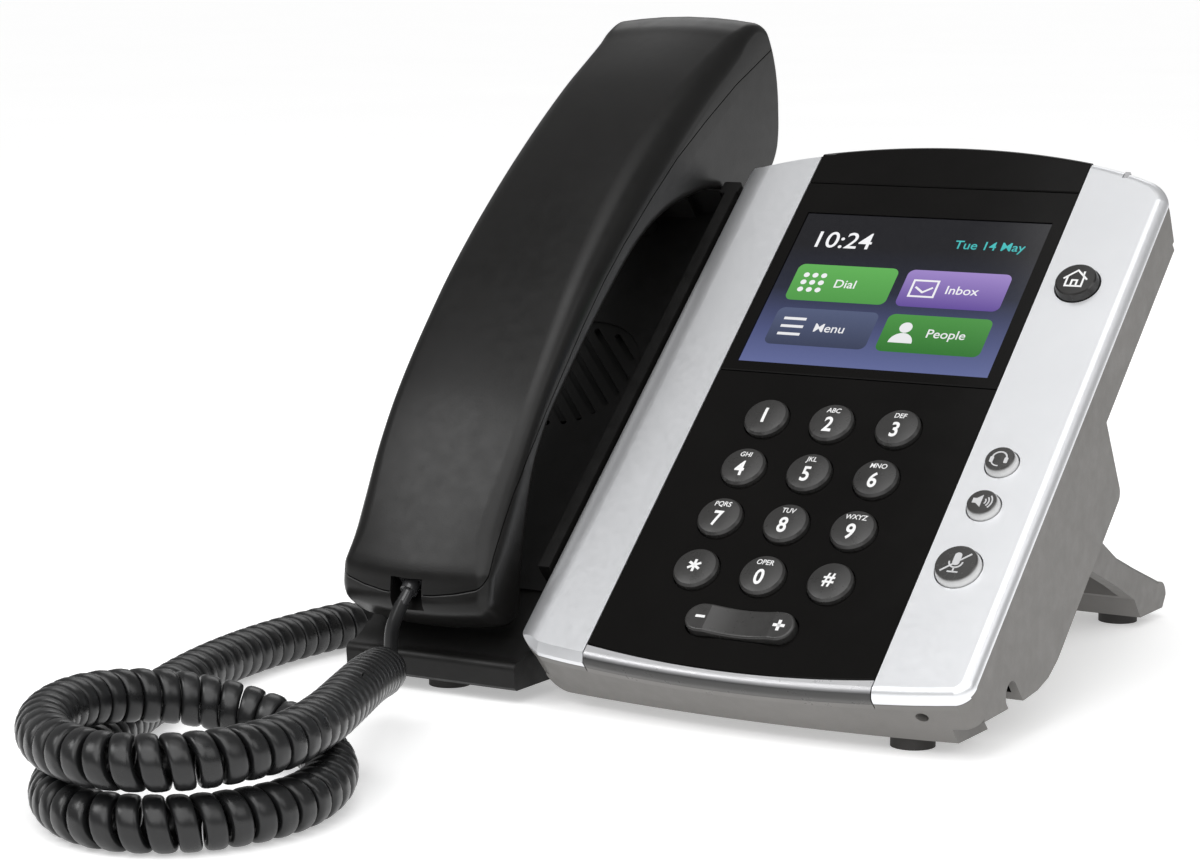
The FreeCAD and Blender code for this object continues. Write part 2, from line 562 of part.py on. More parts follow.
# ---------------------------------------------------------------- handset
# Side outline (v, w), one smooth closed curve, cut along the seam into an
# outer and an inner shell.
OUTLINE = [(80.0, 19.3), (73.5, 21.1), (52.5, 26.0), (32.9, 29.3), (15.5, 31.1), (-0.6, 31.8), (-15.7, 31.7), (-29.8, 31.0),
           (-43.1, 29.5), (-55.9, 27.7), (-68.2, 25.5), (-79.7, 22.7), (-90.8, 19.5), (-101.6, 16.0), (-109.0, 13.5), (-114.6, 11.3),
           (-118.6, 8.9), (-120.9, 6.0), (-121.2, 2.6), (-120.0, -2.0), (-118.0, -6.8), (-115.0, -10.0), (-110.6, -10.5), (-105.4, -7.3),
           (-101.0, -3.9), (-90.0, 4.4), (-79.5, 11.6), (-68.0, 15.6), (-50.0, 17.0), (-22.0, 17.2), (-2.0, 15.8), (13.0, 11.8),
           (24.0, 6.4), (33.5, 0.2), (40.0, -6.4), (46.5, -12.6), (55.0, -16.6), (65.0, -18.3), (73.4, -17.8), (78.6, -14.4),
           (82.9, -8.4), (86.4, -2.0), (88.8, 4.6), (88.6, 10.8), (85.2, 16.2)]
SEAM = [(99.0, 0.0), (85.7, 4.2), (63.8, 11.4), (45.0, 16.0), (26.4, 19.9), (8.7, 21.9), (-9.0, 23.3), (-23.0, 23.6), (-38.0, 22.8),
        (-53.0, 21.3), (-66.0, 20.0), (-80.0, 17.9), (-89.0, 15.9), (-97.0, 13.5), (-104.0, 11.3), (-110.0, 9.6), (-115.0, 8.3), (-119.0, 7.5), (-135.0, 6.4)]


def handset_shell(label, keep_outer):
    body = new_body(label, FACE)
    sk = new_sketch(body, "YZ_Plane", D("handset_right") - D("handset_wide"))
    curve = Part.BSplineCurve()
    curve.interpolate([V(a, b, 0) for a, b in OUTLINE], PeriodicFlag=True)
    spans, first, last = [], curve.FirstParameter, curve.LastParameter
    for k in range(6):
        span = curve.copy()
        span.segment(first + (last - first) * k / 6, first + (last - first) * (k + 1) / 6)
        spans.append(sk.addGeometry(span, False))
    for k in range(6):
        sk.addConstraint(Sketcher.Constraint("Coincident", spans[k], 2, spans[(k + 1) % 6], 1))
    pad(body, sk, D("handset_wide"))
    dress(body, "Fillet", lambda e: abs(e.BoundBox.XLength) < 1e-3, D("handset_round"))
    # Both ends are curved in plan.
    take(body, "XY_Plane", [(-117.0, -117.0), (-67.4, -117.0, -92.2, -121.5), (-67.4, -140.0), (-117.0, -140.0)], -60, 140)
    take(body, "XY_Plane", [(-117.0, 84.6), (-67.4, 84.6, -92.2, 89.3), (-67.4, 120.0), (-117.0, 120.0)], -60, 140)
    sk = new_sketch(body, "YZ_Plane", -130.0)
    far = -60.0 if keep_outer else 80.0
    closed(sk, SEAM + [(SEAM[-1][0], far), (SEAM[0][0], far)])
    cut(body, sk, 80)
    return keep(body)


outer = handset_shell("handset_back", True)
inside = handset_shell("handset_front", False)
# Seats for the receiver, the microphone, the weight and the cord's socket.
take_circles(inside, "XY_Plane", [(-92.2, 54.0, 16.3)], 1.4, 40)
take_circles(inside, "XY_Plane", [(-92.2, -97.4, 5.5)], 4.4, 40)
take(inside, "XY_Plane", rect(-107.2, -50.2, -77.2, 0.2), 18.8, 40)
for shell in (inside, outer):
    take(shell, "XY_Plane", rect(-97.0, -140.0, -87.4, -112.9), 3.4, 7.0)
    take(shell, "XY_Plane", rect(-98.2, -113.0, -86.2, -103.4), 2.8, 8.2)
keep(rod("handset_receiver", FACE, -92.2, 54.0, 1.4, 16.0, 6.6))
keep(rod("handset_microphone", FACE, -92.2, -97.4, 4.4, 5.3, 4.0))
keep(box("handset_weight", FACE, -107.0, -50.0, 18.8, 29.6, 50.0, 2.2))
keep(minus("handset_socket", box("jack_shell", FACE, -98.0, -112.8, 3.0, 11.6, 9.2, 7.8), box("jack_hollow", FACE, -96.2, -130.0, 3.5, 8.0, 25.0, 6.8)))
keep(box("handset_plug", FACE, -96.05, -121.6, 3.6, 7.7, 16.4, 6.6))
keep(box("console_plug", FACE, -100.85, -73.3, -46.0, 7.7, 6.6, 15.5))


# ---------------------------------------------------------------- cord
# Route points over the desk, measured from the point under the screen.
LEAD = [(-92.2, -94.97, 24.77), (-91.9, -99.2, 20.95), (-89.8, -103.6, 18.2), (-86.8, -108.0, 16.2), (-84.1, -112.4, 14.5), (-82.0, -117.0, 13.0)]
COIL = [(-82.0, -117.0, 13.0), (-70.5, -141.0, 16.8), (-57.5, -167.0, 19.4), (-45.5, -195.0, 20.3), (-40.5, -219.0, 20.3), (-48.0, -239.5, 20.1),
        (-65.0, -249.0, 20.0), (-86.5, -241.0, 19.9), (-102.5, -223.0, 20.1), (-107.0, -201.0, 20.0), (-96.0, -181.0, 17.6), (-76.0, -172.0, 12.4),
        (-57.0, -177.0, 7.6), (-43.5, -194.0, 6.5), (-38.5, -217.0, 6.45), (-48.0, -239.0, 6.45), (-67.0, -248.0, 6.5), (-87.0, -238.5, 6.45),
        (-101.2, -217.5, 6.45), (-113.0, -190.0, 6.5), (-127.0, -157.0, 6.45), (-138.5, -122.0, 6.5), (-143.5, -90.0, 6.45), (-142.5, -63.0, 6.5), (-138.5, -42.0, 6.5)]
TAIL = [(-138.5, -42.0, 6.5), (-135.5, -27.5, 4.4), (-129.5, -12.5, 2.6), (-118.0, -1.0, 2.4), (-106.0, 0.5, 4.6), (-98.5, -6.5, 9.6), (-97.0, -15.4, 14.2), (-97.0, -21.14, 20.16)]


def tube(label, route, radius):
    points = [V(*p) for p in route]
    edges, begin, length = [], points[0], 0.0
    for k in range(1, len(points) - 1):
        before, after = points[k] - points[k - 1], points[k + 1] - points[k]
        run = min(before.Length, after.Length)
        before, after = V(before).normalize(), V(after).normalize()
        turn = before.getAngle(after)
        trim = 0.45 * run
        bend = trim / math.tan(turn / 2)
        a, b = points[k] - before * trim, points[k] + after * trim
        to_centre = V(after - before).normalize()
        centre = points[k] + to_centre * math.hypot(trim, bend)
        mid = centre - to_centre * bend
        edges.append(Part.LineSegment(begin, a).toShape())
        edges.append(Part.Arc(a, mid, b).toShape())
        length += (a - begin).Length + bend * turn
        print("%s point %d: run %.1f turn %.1f deg radius %.1f (%.1f diameters)" % (label, k, run, math.degrees(turn), bend, bend / (2 * radius)))
        begin = b
    edges.append(Part.LineSegment(begin, points[-1]).toShape())
    length += (points[-1] - begin).Length
    wire = Part.Wire(edges)
    start = (points[1] - points[0]).normalize()
    ring = Part.Wire([Part.Circle(points[0], start, radius).toShape()])
    solid = wire.makePipeShell([ring], True, False)
    want = math.pi * radius ** 2 * length
    print("%s: length %.1f, volume %.1f against %.1f" % (label, length, solid.Volume, want))
    if abs(solid.Volume - want) > 0.01 * want:
        raise RuntimeError("%s has the wrong volume" % label)
    f = doc.addObject("Part::Feature", label)
    f.Label = label
    f.Shape = solid
    f.Placement = DESK
    return keep(f)


tube("cord_lead", LEAD, NUM["lead_radius"])
tube("cord_coil", COIL, NUM["coil_radius"])
tube("cord_tail", TAIL, NUM["lead_radius"])

# ---------------------------------------------------------------- writing
doc.recompute()
for obj in doc.Objects:
    if "Invalid" in obj.State or "Error" in obj.State:
        raise RuntimeError("%s failed: %s" % (obj.Label, obj.State))
for obj in NODES:
    shape = obj.Shape
    if not shape.isValid():
        for f in getattr(obj, "Group", []):
            print(f.Label, f.Shape.isValid(), f.Shape.Volume, len(f.Shape.Solids))
    if shape.isNull() or not shape.isValid() or not shape.Solids:
        raise RuntimeError("%s has no valid solid" % obj.Label)
os.makedirs("parts", exist_ok=True)
whole = None
for obj in NODES:
    obj.Shape.exportStep(os.path.join("parts", obj.Label + ".step"))
    if obj.Label not in ("cord_lead", "cord_coil", "cord_tail", "handset_plug", "console_plug"):
        whole = obj.Shape.BoundBox if whole is None else whole.united(obj.Shape.BoundBox)
print("%d nodes" % len(NODES))
print("box x %.2f %.2f  y %.2f %.2f  z %.2f %.2f" % (whole.XMin, whole.XMax, whole.YMin, whole.YMax, whole.ZMin, whole.ZMax))
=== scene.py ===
import math

import bmesh
import bpy
import numpy as np
from mathutils import Matrix, Vector


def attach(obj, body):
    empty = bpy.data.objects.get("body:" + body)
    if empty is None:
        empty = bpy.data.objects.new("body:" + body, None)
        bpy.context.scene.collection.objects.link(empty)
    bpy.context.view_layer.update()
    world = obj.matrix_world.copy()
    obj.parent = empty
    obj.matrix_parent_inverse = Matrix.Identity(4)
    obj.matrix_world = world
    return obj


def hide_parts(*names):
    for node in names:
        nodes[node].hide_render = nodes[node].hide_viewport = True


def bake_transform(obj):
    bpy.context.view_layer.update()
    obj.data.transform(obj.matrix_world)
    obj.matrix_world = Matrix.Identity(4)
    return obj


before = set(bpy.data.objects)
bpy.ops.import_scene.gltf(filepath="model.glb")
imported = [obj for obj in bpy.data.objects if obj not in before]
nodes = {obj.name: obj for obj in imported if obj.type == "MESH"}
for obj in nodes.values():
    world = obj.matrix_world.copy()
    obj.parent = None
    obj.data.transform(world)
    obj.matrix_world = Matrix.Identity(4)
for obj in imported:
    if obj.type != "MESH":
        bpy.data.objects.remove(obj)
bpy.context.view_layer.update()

scene = bpy.context.scene

# ------------------------------------------------------------------ frames
# The face leans back from the desk: u right, v up along it, w out of it, in
# millimetres from the screen's centre. The desk frame starts under that point.
LEAN = math.radians(42.07)
COS, SIN = math.cos(LEAN), math.sin(LEAN)
RIGHT, BACK, HEIGHT = 25.695, -4.455, 101.2


def face(u, v, w):
    return Vector((u + RIGHT, v * COS - w * SIN + BACK, v * SIN + w * COS + HEIGHT)) / 1000.0


def face_all(points):
    p = np.asarray(points, float).reshape(-1, 3)
    return np.stack([p[:, 0] + RIGHT, p[:, 1] * COS - p[:, 2] * SIN + BACK, p[:, 1] * SIN + p[:, 2] * COS + HEIGHT], 1) / 1000.0


def face_dir(u, v, w):
    return Vector((u, v * COS - w * SIN, v * SIN + w * COS))


def desk(x, y, z):
    return Vector((x + RIGHT, y + BACK, z)) / 1000.0


# ------------------------------------------------------------------ camera
cam = bpy.data.objects.new("camera", bpy.data.cameras.new("camera"))
scene.collection.objects.link(cam)
cam.data.lens = 97.56
cam.data.sensor_width = 36.0
cam.data.sensor_fit = "HORIZONTAL"
cam.data.clip_start, cam.data.clip_end = 0.02, 200.0
right = face_dir(0.85937931, 0.37957611, -0.34262106)
down = face_dir(0.07443885, -0.75577727, -0.65058402)
ahead = face_dir(-0.50589136, 0.53359413, -0.67775456)
turn = Matrix((right, -down, -ahead)).transposed().to_4x4()
turn.translation = (0.393795, -0.774175, 0.18878)
cam.matrix_world = turn
scene.camera = cam


# ------------------------------------------------------------------ shader help
def shader(name):
    m = bpy.data.materials.new(name)
    m.use_nodes = True
    t = m.node_tree
    t.nodes.clear()
    out = t.nodes.new("ShaderNodeOutputMaterial")
    p = t.nodes.new("ShaderNodeBsdfPrincipled")
    t.links.new(p.outputs["BSDF"], out.inputs["Surface"])
    return m, t, p


def coords(t, kind="Object"):
    return t.nodes.new("ShaderNodeTexCoord").outputs[kind]


def stretch(t, vector, scale):
    n = t.nodes.new("ShaderNodeMapping")
    n.inputs["Scale"].default_value = scale
    t.links.new(vector, n.inputs["Vector"])
    return n.outputs["Vector"]


def noise(t, vector, scale, detail=3.0, rough=0.55):
    n = t.nodes.new("ShaderNodeTexNoise")
    n.inputs["Scale"].default_value = scale
    n.inputs["Detail"].default_value = detail
    n.inputs["Roughness"].default_value = rough
    t.links.new(vector, n.inputs["Vector"])
    return n.outputs["Fac"]


def cells(t, vector, scale):
    n = t.nodes.new("ShaderNodeTexVoronoi")
    n.inputs["Scale"].default_value = scale
    t.links.new(vector, n.inputs["Vector"])
    return n.outputs["Distance"]


def ramp(t, value, *stops):
    n = t.nodes.new("ShaderNodeValToRGB")
    e = n.color_ramp.elements
    while len(e) < len(stops):
        e.new(0.5)
    for k, (at, colour) in enumerate(stops):
        e[k].position = at
        e[k].color = (*colour, 1.0)
    t.links.new(value, n.inputs["Fac"])
    return n.outputs["Color"]


def span(t, value, a, b, low, high):
    n = t.nodes.new("ShaderNodeMapRange")
    n.inputs["From Min"].default_value = a
    n.inputs["From Max"].default_value = b
    n.inputs["To Min"].default_value = low
    n.inputs["To Max"].default_value = high
    t.links.new(value, n.inputs["Value"])
    return n.outputs["Result"]


def bump(t, height, strength, distance, normal=None):
    n = t.nodes.new("ShaderNodeBump")
    n.inputs["Strength"].default_value = strength
    n.inputs["Distance"].default_value = distance
    t.links.new(height, n.inputs["Height"])
    if normal is not None:
        t.links.new(normal, n.inputs["Normal"])
    return n.outputs["Normal"]


def moulded(name, dark, light, rough, grain=2600.0, relief=0.5, spread=0.08, level=0.5, metal=0.0, coat=0.0, coat_rough=0.1, patch=28.0):
    """A moulded or painted surface: slow colour drift, uneven gloss and a fine grain."""
    m, t, p = shader(name)
    c = coords(t)
    slow = noise(t, c, patch, 4.0)
    fine = noise(t, c, grain, 2.0)
    mid = noise(t, c, grain * 0.11, 3.0)
    t.links.new(ramp(t, slow, (0.3, dark), (0.7, light)), p.inputs["Base Color"])
    t.links.new(span(t, mid, 0.25, 0.75, max(0.02, rough - spread), rough + spread), p.inputs["Roughness"])
    first = bump(t, fine, relief, 0.00006)
    t.links.new(bump(t, mid, relief * 0.4, 0.00008, first), p.inputs["Normal"])
    p.inputs["Metallic"].default_value = metal
    p.inputs["Specular IOR Level"].default_value = level
    p.inputs["Coat Weight"].default_value = coat
    p.inputs["Coat Roughness"].default_value = coat_rough
    return m


def glowing(name, low, high, strength, rough=0.12):
    """A lit part of the display: colour rises from its lower to its upper edge."""
    m, t, p = shader(name)
    c = coords(t, "Generated")
    split = t.nodes.new("ShaderNodeSeparateXYZ")
    t.links.new(c, split.inputs["Vector"])
    shade = ramp(t, split.outputs["Z"], (0.0, low), (1.0, high))
    t.links.new(shade, p.inputs["Emission Color"])
    p.inputs["Emission Strength"].default_value = strength
    t.links.new(ramp(t, noise(t, coords(t), 900.0), (0.3, (0.004, 0.004, 0.005)), (0.7, (0.007, 0.007, 0.008))), p.inputs["Base Color"])
    p.inputs["Roughness"].default_value = rough
    return m


# ------------------------------------------------------------------ materials
M = {}
M["grey_case"] = moulded("grey_case", (0.150, 0.144, 0.136), (0.172, 0.165, 0.157), 0.52, grain=2300.0, relief=0.55)
M["silver_paint"] = moulded("silver_paint", (0.82, 0.83, 0.85), (0.86, 0.87, 0.89), 0.34, grain=5200.0, relief=0.14, spread=0.03, metal=0.78)
M["black_gloss"] = moulded("black_gloss", (0.0036, 0.0033, 0.0031), (0.0050, 0.0046, 0.0043), 0.16, grain=900.0, relief=0.03, spread=0.03, level=0.13)
M["key_plastic"] = moulded("key_plastic", (0.024, 0.0235, 0.023), (0.034, 0.033, 0.032), 0.30, grain=3600.0, relief=0.14, spread=0.06)
M["cradle_black"] = moulded("cradle_black", (0.0042, 0.0040, 0.0038), (0.0062, 0.0059, 0.0056), 0.46, grain=1900.0, relief=0.4, level=0.30)
M["handset_black"] = moulded("handset_black", (0.0062, 0.0060, 0.0058), (0.0084, 0.0081, 0.0078), 0.32, grain=2300.0, relief=0.26, spread=0.04, level=0.27)
M["rubber"] = moulded("rubber", (0.034, 0.032, 0.030), (0.046, 0.043, 0.041), 0.66, grain=1500.0, relief=0.6)
M["steel"] = moulded("steel", (0.42, 0.42, 0.43), (0.52, 0.52, 0.53), 0.30, grain=3500.0, relief=0.15, metal=1.0)
M["socket_black"] = moulded("socket_black", (0.014, 0.014, 0.014), (0.020, 0.020, 0.020), 0.40, grain=2600.0, relief=0.3)
M["board"] = moulded("board", (0.010, 0.070, 0.026), (0.016, 0.095, 0.036), 0.38, grain=1200.0, relief=0.3)
M["module"] = moulded("module", (0.30, 0.30, 0.31), (0.38, 0.38, 0.39), 0.35, grain=2600.0, relief=0.2, metal=0.8)
M["plug"] = moulded("plug", (0.020, 0.020, 0.021), (0.034, 0.034, 0.036), 0.20, grain=2600.0, relief=0.08, coat=0.3)
M["cord"] = moulded("cord", (0.0070, 0.0072, 0.0076), (0.0115, 0.0117, 0.0121), 0.30, grain=1500.0, relief=0.16, spread=0.07, patch=60.0)
M["lamp"] = moulded("lamp", (0.30, 0.30, 0.31), (0.36, 0.36, 0.37), 0.25, grain=2600.0, relief=0.08, coat=0.4)
M["legend"] = moulded("legend", (0.74, 0.74, 0.74), (0.82, 0.82, 0.82), 0.45, grain=3000.0, relief=0.1)
M["legend_grey"] = moulded("legend_grey", (0.50, 0.50, 0.51), (0.58, 0.58, 0.59), 0.40, grain=3000.0, relief=0.1)
M["gold"] = moulded("gold", (0.72, 0.50, 0.20), (0.82, 0.60, 0.26), 0.24, grain=3000.0, relief=0.1, metal=1.0)

# Side keys: a dark cap over a pale translucent skirt, told apart by height above the face.
m, t, p = shader("side_key_plastic")
above = t.nodes.new("ShaderNodeVectorMath")
above.operation = "DOT_PRODUCT"
above.inputs[1].default_value = (0.0, -SIN, COS)
t.links.new(coords(t), above.inputs[0])
ground = (-SIN * BACK + COS * HEIGHT) / 1000.0
lift = span(t, above.outputs["Value"], ground + 0.0009, ground + 0.0023, 0.0, 1.0)
t.links.new(ramp(t, lift, (0.0, (0.66, 0.66, 0.66)), (0.55, (0.50, 0.50, 0.50)), (0.86, (0.060, 0.058, 0.056)), (1.0, (0.040, 0.039, 0.038))), p.inputs["Base Color"])
t.links.new(span(t, noise(t, coords(t), 420.0), 0.3, 0.7, 0.20, 0.30), p.inputs["Roughness"])
t.links.new(bump(t, noise(t, coords(t), 3600.0, 2.0), 0.08, 0.00006), p.inputs["Normal"])
M["side_key_plastic"] = m
# Near-black and almost without gloss: painted shade for the line between the handset's shells.
M["seam_painted_shade"] = moulded("seam_painted_shade", (0.0010, 0.0010, 0.0010), (0.0018, 0.0018, 0.0018), 0.80, grain=1900.0, relief=0.2, level=0.05)
M["home_key"] = moulded("home_key", (0.0120, 0.0115, 0.0110), (0.0170, 0.0164, 0.0158), 0.20, grain=3600.0, relief=0.06, spread=0.04)



def by_height(m, edge, low, metal):
    """Below the given height over the face the surface turns to the case colour, with a fine dark joint."""
    t = m.node_tree
    p = next(n for n in t.nodes if n.type == "BSDF_PRINCIPLED")
    up = t.nodes.new("ShaderNodeVectorMath")
    up.operation = "DOT_PRODUCT"
    up.inputs[1].default_value = (0.0, -SIN, COS)
    t.links.new(coords(t), up.inputs[0])
    split = span(t, up.outputs["Value"], ground + edge - 0.00012, ground + edge + 0.00012, 0.0, 1.0)
    paint = p.inputs["Base Color"].links[0].from_socket
    mix = t.nodes.new("ShaderNodeMix")
    mix.data_type = "RGBA"
    t.links.new(split, mix.inputs[0])
    t.links.new(ramp(t, noise(t, coords(t), 28.0, 4.0), (0.3, low), (0.7, tuple(1.1 * x for x in low))), mix.inputs[6])
    t.links.new(paint, mix.inputs[7])
    joint = span(t, up.outputs["Value"], ground + edge - 0.00030, ground + edge - 0.00014, 1.0, 0.0)
    line = t.nodes.new("ShaderNodeMix")
    line.data_type = "RGBA"
    dim = t.nodes.new("ShaderNodeMath")
    dim.operation = "MAXIMUM"
    t.links.new(joint, dim.inputs[0])
    t.links.new(split, dim.inputs[1])
    t.links.new(dim.outputs[0], line.inputs[0])
    line.inputs[6].default_value = (0.02, 0.02, 0.02, 1.0)
    t.links.new(mix.outputs[2], line.inputs[7])
    t.links.new(line.outputs[2], p.inputs["Base Color"])
    t.links.new(span(t, split, 0.0, 1.0, 0.0, metal), p.inputs["Metallic"])


# The front strip: a painted highlight along its top, painted shade in the band below it, lighter again towards its
# lower edge.
m, t, p = shader("gunmetal")
above = t.nodes.new("ShaderNodeVectorMath")
above.operation = "DOT_PRODUCT"
above.inputs[1].default_value = (0.0, -SIN, COS)
t.links.new(coords(t), above.inputs[0])
lift = span(t, above.outputs["Value"], ground - 0.0036, ground, 0.0, 1.0)
# Base colour by height: the pale top stops are a painted highlight and the dark middle stops are painted shade.
t.links.new(ramp(t, lift, (0.0, (0.105, 0.103, 0.100)), (0.45, (0.060, 0.059, 0.058)), (0.80, (0.050, 0.050, 0.050)), (0.93, (0.40, 0.40, 0.41)), (1.0, (0.50, 0.50, 0.51))), p.inputs["Base Color"])
t.links.new(span(t, noise(t, coords(t), 420.0), 0.3, 0.7, 0.26, 0.36), p.inputs["Roughness"])
t.links.new(bump(t, noise(t, coords(t), 4200.0, 2.0), 0.06, 0.00005), p.inputs["Normal"])
M["gunmetal"] = m
by_height(M["gunmetal"], -0.0036, (0.150, 0.144, 0.136), 0.35)
by_height(M["silver_paint"], -0.0036, (0.150, 0.144, 0.136), 0.78)

# The display: black at the top, slate blue towards its lower edge.
m, t, p = shader("screen_glass")
split = t.nodes.new("ShaderNodeSeparateXYZ")
t.links.new(coords(t, "Generated"), split.inputs["Vector"])
t.links.new(ramp(t, split.outputs["Z"], (0.0, (0.120, 0.145, 0.330)), (0.26, (0.060, 0.074, 0.185)), (0.52, (0.010, 0.013, 0.030)), (0.80, (0.002, 0.002, 0.004))), p.inputs["Emission Color"])
p.inputs["Emission Strength"].default_value = 1.0
t.links.new(ramp(t, noise(t, coords(t), 900.0), (0.3, (0.004, 0.004, 0.005)), (0.7, (0.007, 0.007, 0.008))), p.inputs["Base Color"])
t.links.new(span(t, noise(t, coords(t), 60.0), 0.3, 0.7, 0.09, 0.13), p.inputs["Roughness"])
M["screen_glass"] = m

SLOT_OF = {
    "grey_case": ["front_housing", "rear_housing", "stand", "network_panel", "jack_panel"],
    "silver_paint": ["left_trim", "right_trim"],
    "black_gloss": ["keypad_plate", "display_frame", "top_cap"],
    "gunmetal": ["front_trim"],
    "screen_glass": ["display_lens"],
    "module": ["lcd_module"],
    "key_plastic": ["key_1", "key_2", "key_3", "key_4", "key_5", "key_6", "key_7", "key_8", "key_9", "key_star", "key_0", "key_hash", "volume_rocker"],
    "side_key_plastic": ["headset_key", "speaker_key", "mute_key"],
    "home_key": ["home_key"],
    "lamp": ["message_lamp"],
    "cradle_black": ["cradle", "hook_switch", "loudspeaker", "console_microphone"],
    "handset_black": ["handset_back", "handset_front", "handset_receiver", "handset_microphone"],
    "board": ["main_board", "keypad_board"],
    "rubber": ["keypad_membrane", "front_feet", "rear_feet"],
    "steel": ["housing_screws", "network_jacks", "usb_port", "handset_weight"],
    "socket_black": ["handset_jack", "headset_jack", "handset_socket"],
    "plug": ["handset_plug", "console_plug"],
    "cord": ["cord_lead", "cord_coil", "cord_tail"],
}
for kind, members in SLOT_OF.items():
    for n in members:
        if n not in nodes:
            continue
        nodes[n].data.materials.clear()
        nodes[n].data.materials.append(M[kind])


# ------------------------------------------------------------------ mesh help
def piece(name, points, faces, kind, body=None, smooth=None, merge=True):
    """A mesh piece from points in metres, in the row frame."""
    me = bpy.data.meshes.new(name)
    me.from_pydata([tuple(p) for p in points], [], [tuple(f) for f in faces])
    bm = bmesh.new()
    bm.from_mesh(me)
    if merge:
        bmesh.ops.remove_doubles(bm, verts=bm.verts, dist=2e-7)
    bmesh.ops.recalc_face_normals(bm, faces=bm.faces)
    bm.to_mesh(me)
    bm.free()
    ob = bpy.data.objects.new(name, me)
    scene.collection.objects.link(ob)
    me.materials.append(M[kind])
    if smooth is not None:
        for f in me.polygons:
            f.use_smooth = True
        me.set_sharp_from_angle(angle=math.radians(smooth))
    if body:
        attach(ob, body)
    return ob


class Heap:
    """Collects closed solids in face millimetres, to be one piece."""

    def __init__(self):
        self.points, self.faces = [], []

    def put(self, points, faces):
        base = len(self.points)
        self.points += [tuple(map(float, p)) for p in points]
        self.faces += [tuple(base + i for i in f) for f in faces]
        return self

    def made(self, name, kind, body, smooth=None, merge=True):
        return piece(name, face_all(self.points), self.faces, kind, body, smooth, merge)


def drape(points, faces, low, high):
    """Lays a flat solid, z from 0 to 1, over a curved top: it is divided every half millimetre and raised."""
    me = bpy.data.meshes.new("drape")
    me.from_pydata(points, [], faces)
    bm = bmesh.new()
    bm.from_mesh(me)
    bmesh.ops.remove_doubles(bm, verts=bm.verts, dist=1e-4)
    for k in (0, 1):
        values = [v.co[k] for v in bm.verts]
        for x in np.arange(math.ceil(min(values) / 0.55) * 0.55, max(values), 0.55):
            spot, way = [0.0, 0.0, 0.0], [0.0, 0.0, 0.0]
            spot[k], way[k] = float(x) + 0.0137, 1.0
            bmesh.ops.bisect_plane(bm, geom=bm.verts[:] + bm.edges[:] + bm.faces[:], dist=1e-5, plane_co=spot, plane_no=way)
    bm.verts.index_update()
    pts = [(v.co.x, v.co.y, high(v.co.x, v.co.y) if v.co.z > 0.5 else low(v.co.x, v.co.y)) for v in bm.verts]
    out = [tuple(v.index for v in f.verts) for f in bm.faces]
    bm.free()
    bpy.data.meshes.remove(me)
    return pts, out


def prism(outline, low, high):
    """Closed solid over a flat outline; low and high are heights, or functions of (u, v)."""
    n = len(outline)
    bent = callable(low)
    pts = [(u, v, 0.0 if bent else low) for u, v in outline] + [(u, v, 1.0 if bent else high) for u, v in outline]
    faces = [tuple(range(n))[::-1], tuple(range(n, 2 * n))]
    faces += [(i, (i + 1) % n, n + (i + 1) % n, n + i) for i in range(n)]
    return drape(pts, faces, low, high) if bent else (pts, faces)


def rounded(u0, v0, u1, v1, r, k=6):
    out = []
    for cu, cv, a0 in ((u1 - r, v1 - r, 0), (u0 + r, v1 - r, 90), (u0 + r, v0 + r, 180), (u1 - r, v0 + r, 270)):
        for i in range(k + 1):
            a = math.radians(a0 + 90.0 * i / k)
            out.append((cu + r * math.cos(a), cv + r * math.sin(a)))
    return out


def disc(u, v, r, k=28):
    return [(u + r * math.cos(2 * math.pi * i / k), v + r * math.sin(2 * math.pi * i / k)) for i in range(k)]


def arc(u, v, r, a0, a1, k=14):
    return [(u + r * math.cos(math.radians(a0 + (a1 - a0) * i / k)), v + r * math.sin(math.radians(a0 + (a1 - a0) * i / k))) for i in range(k + 1)]


def stroke(line, width):
    """Outline of a polyline drawn with a pen of that width, square ends."""
    p = np.asarray(line, float)
    d = np.diff(p, axis=0)
    d /= np.linalg.norm(d, axis=1)[:, None]
    n = np.stack([-d[:, 1], d[:, 0]], 1)
    side = []
    for i in range(len(p)):
        a, b = n[max(i - 1, 0)], n[min(i, len(n) - 1)]
        s = a + b
        s /= np.linalg.norm(s)
        side.append(s / max(0.35, float(s @ a)) * width / 2)
    side = np.asarray(side)
    return [tuple(x) for x in p + side] + [tuple(x) for x in (p - side)[::-1]]


def letters(text, u, v, size, low, high, bold=0.0, narrow=1.0, align="CENTER"):
    """Closed solids of generic lettering; low and high as for prism."""
    cu = bpy.data.curves.new("letters", "FONT")
    cu.body, cu.size, cu.extrude, cu.offset = text, size, 0.5, bold * size
    cu.align_x, cu.align_y, cu.resolution_u = align, "CENTER", 4
    ob = bpy.data.objects.new("letters", cu)
    scene.collection.objects.link(ob)
    dg = bpy.context.evaluated_depsgraph_get()
    me = bpy.data.meshes.new_from_object(ob.evaluated_get(dg))
    bent = callable(low)
    co = np.array([x.co for x in me.vertices], float).reshape(-1, 3)
    middle = (co[:, 1].min() + co[:, 1].max()) / 2
    bottom, top = (0.0, 1.0) if bent else (low, high)
    pts = [(u + x * narrow, v + y - middle, top if z > 0 else bottom) for x, y, z in co]
    faces = [tuple(f.vertices) for f in me.polygons]
    if bent:
        pts, faces = drape(pts, faces, low, high)
    bpy.data.objects.remove(ob)
    bpy.data.curves.remove(cu)
    bpy.data.meshes.remove(me)
    return pts, faces


def cut(base, tool, operation):
    """Boolean of two mesh objects; the tool is removed, the base keeps the result."""
    mod = base.modifiers.new("cut", "BOOLEAN")
    mod.operation, mod.object, mod.solver = operation, tool, "EXACT"
    dg = bpy.context.evaluated_depsgraph_get()
    me = bpy.data.meshes.new_from_object(base.evaluated_get(dg))
    base.modifiers.clear()
    old = base.data
    base.data = me
    bpy.data.meshes.remove(old)
    bpy.data.objects.remove(tool)


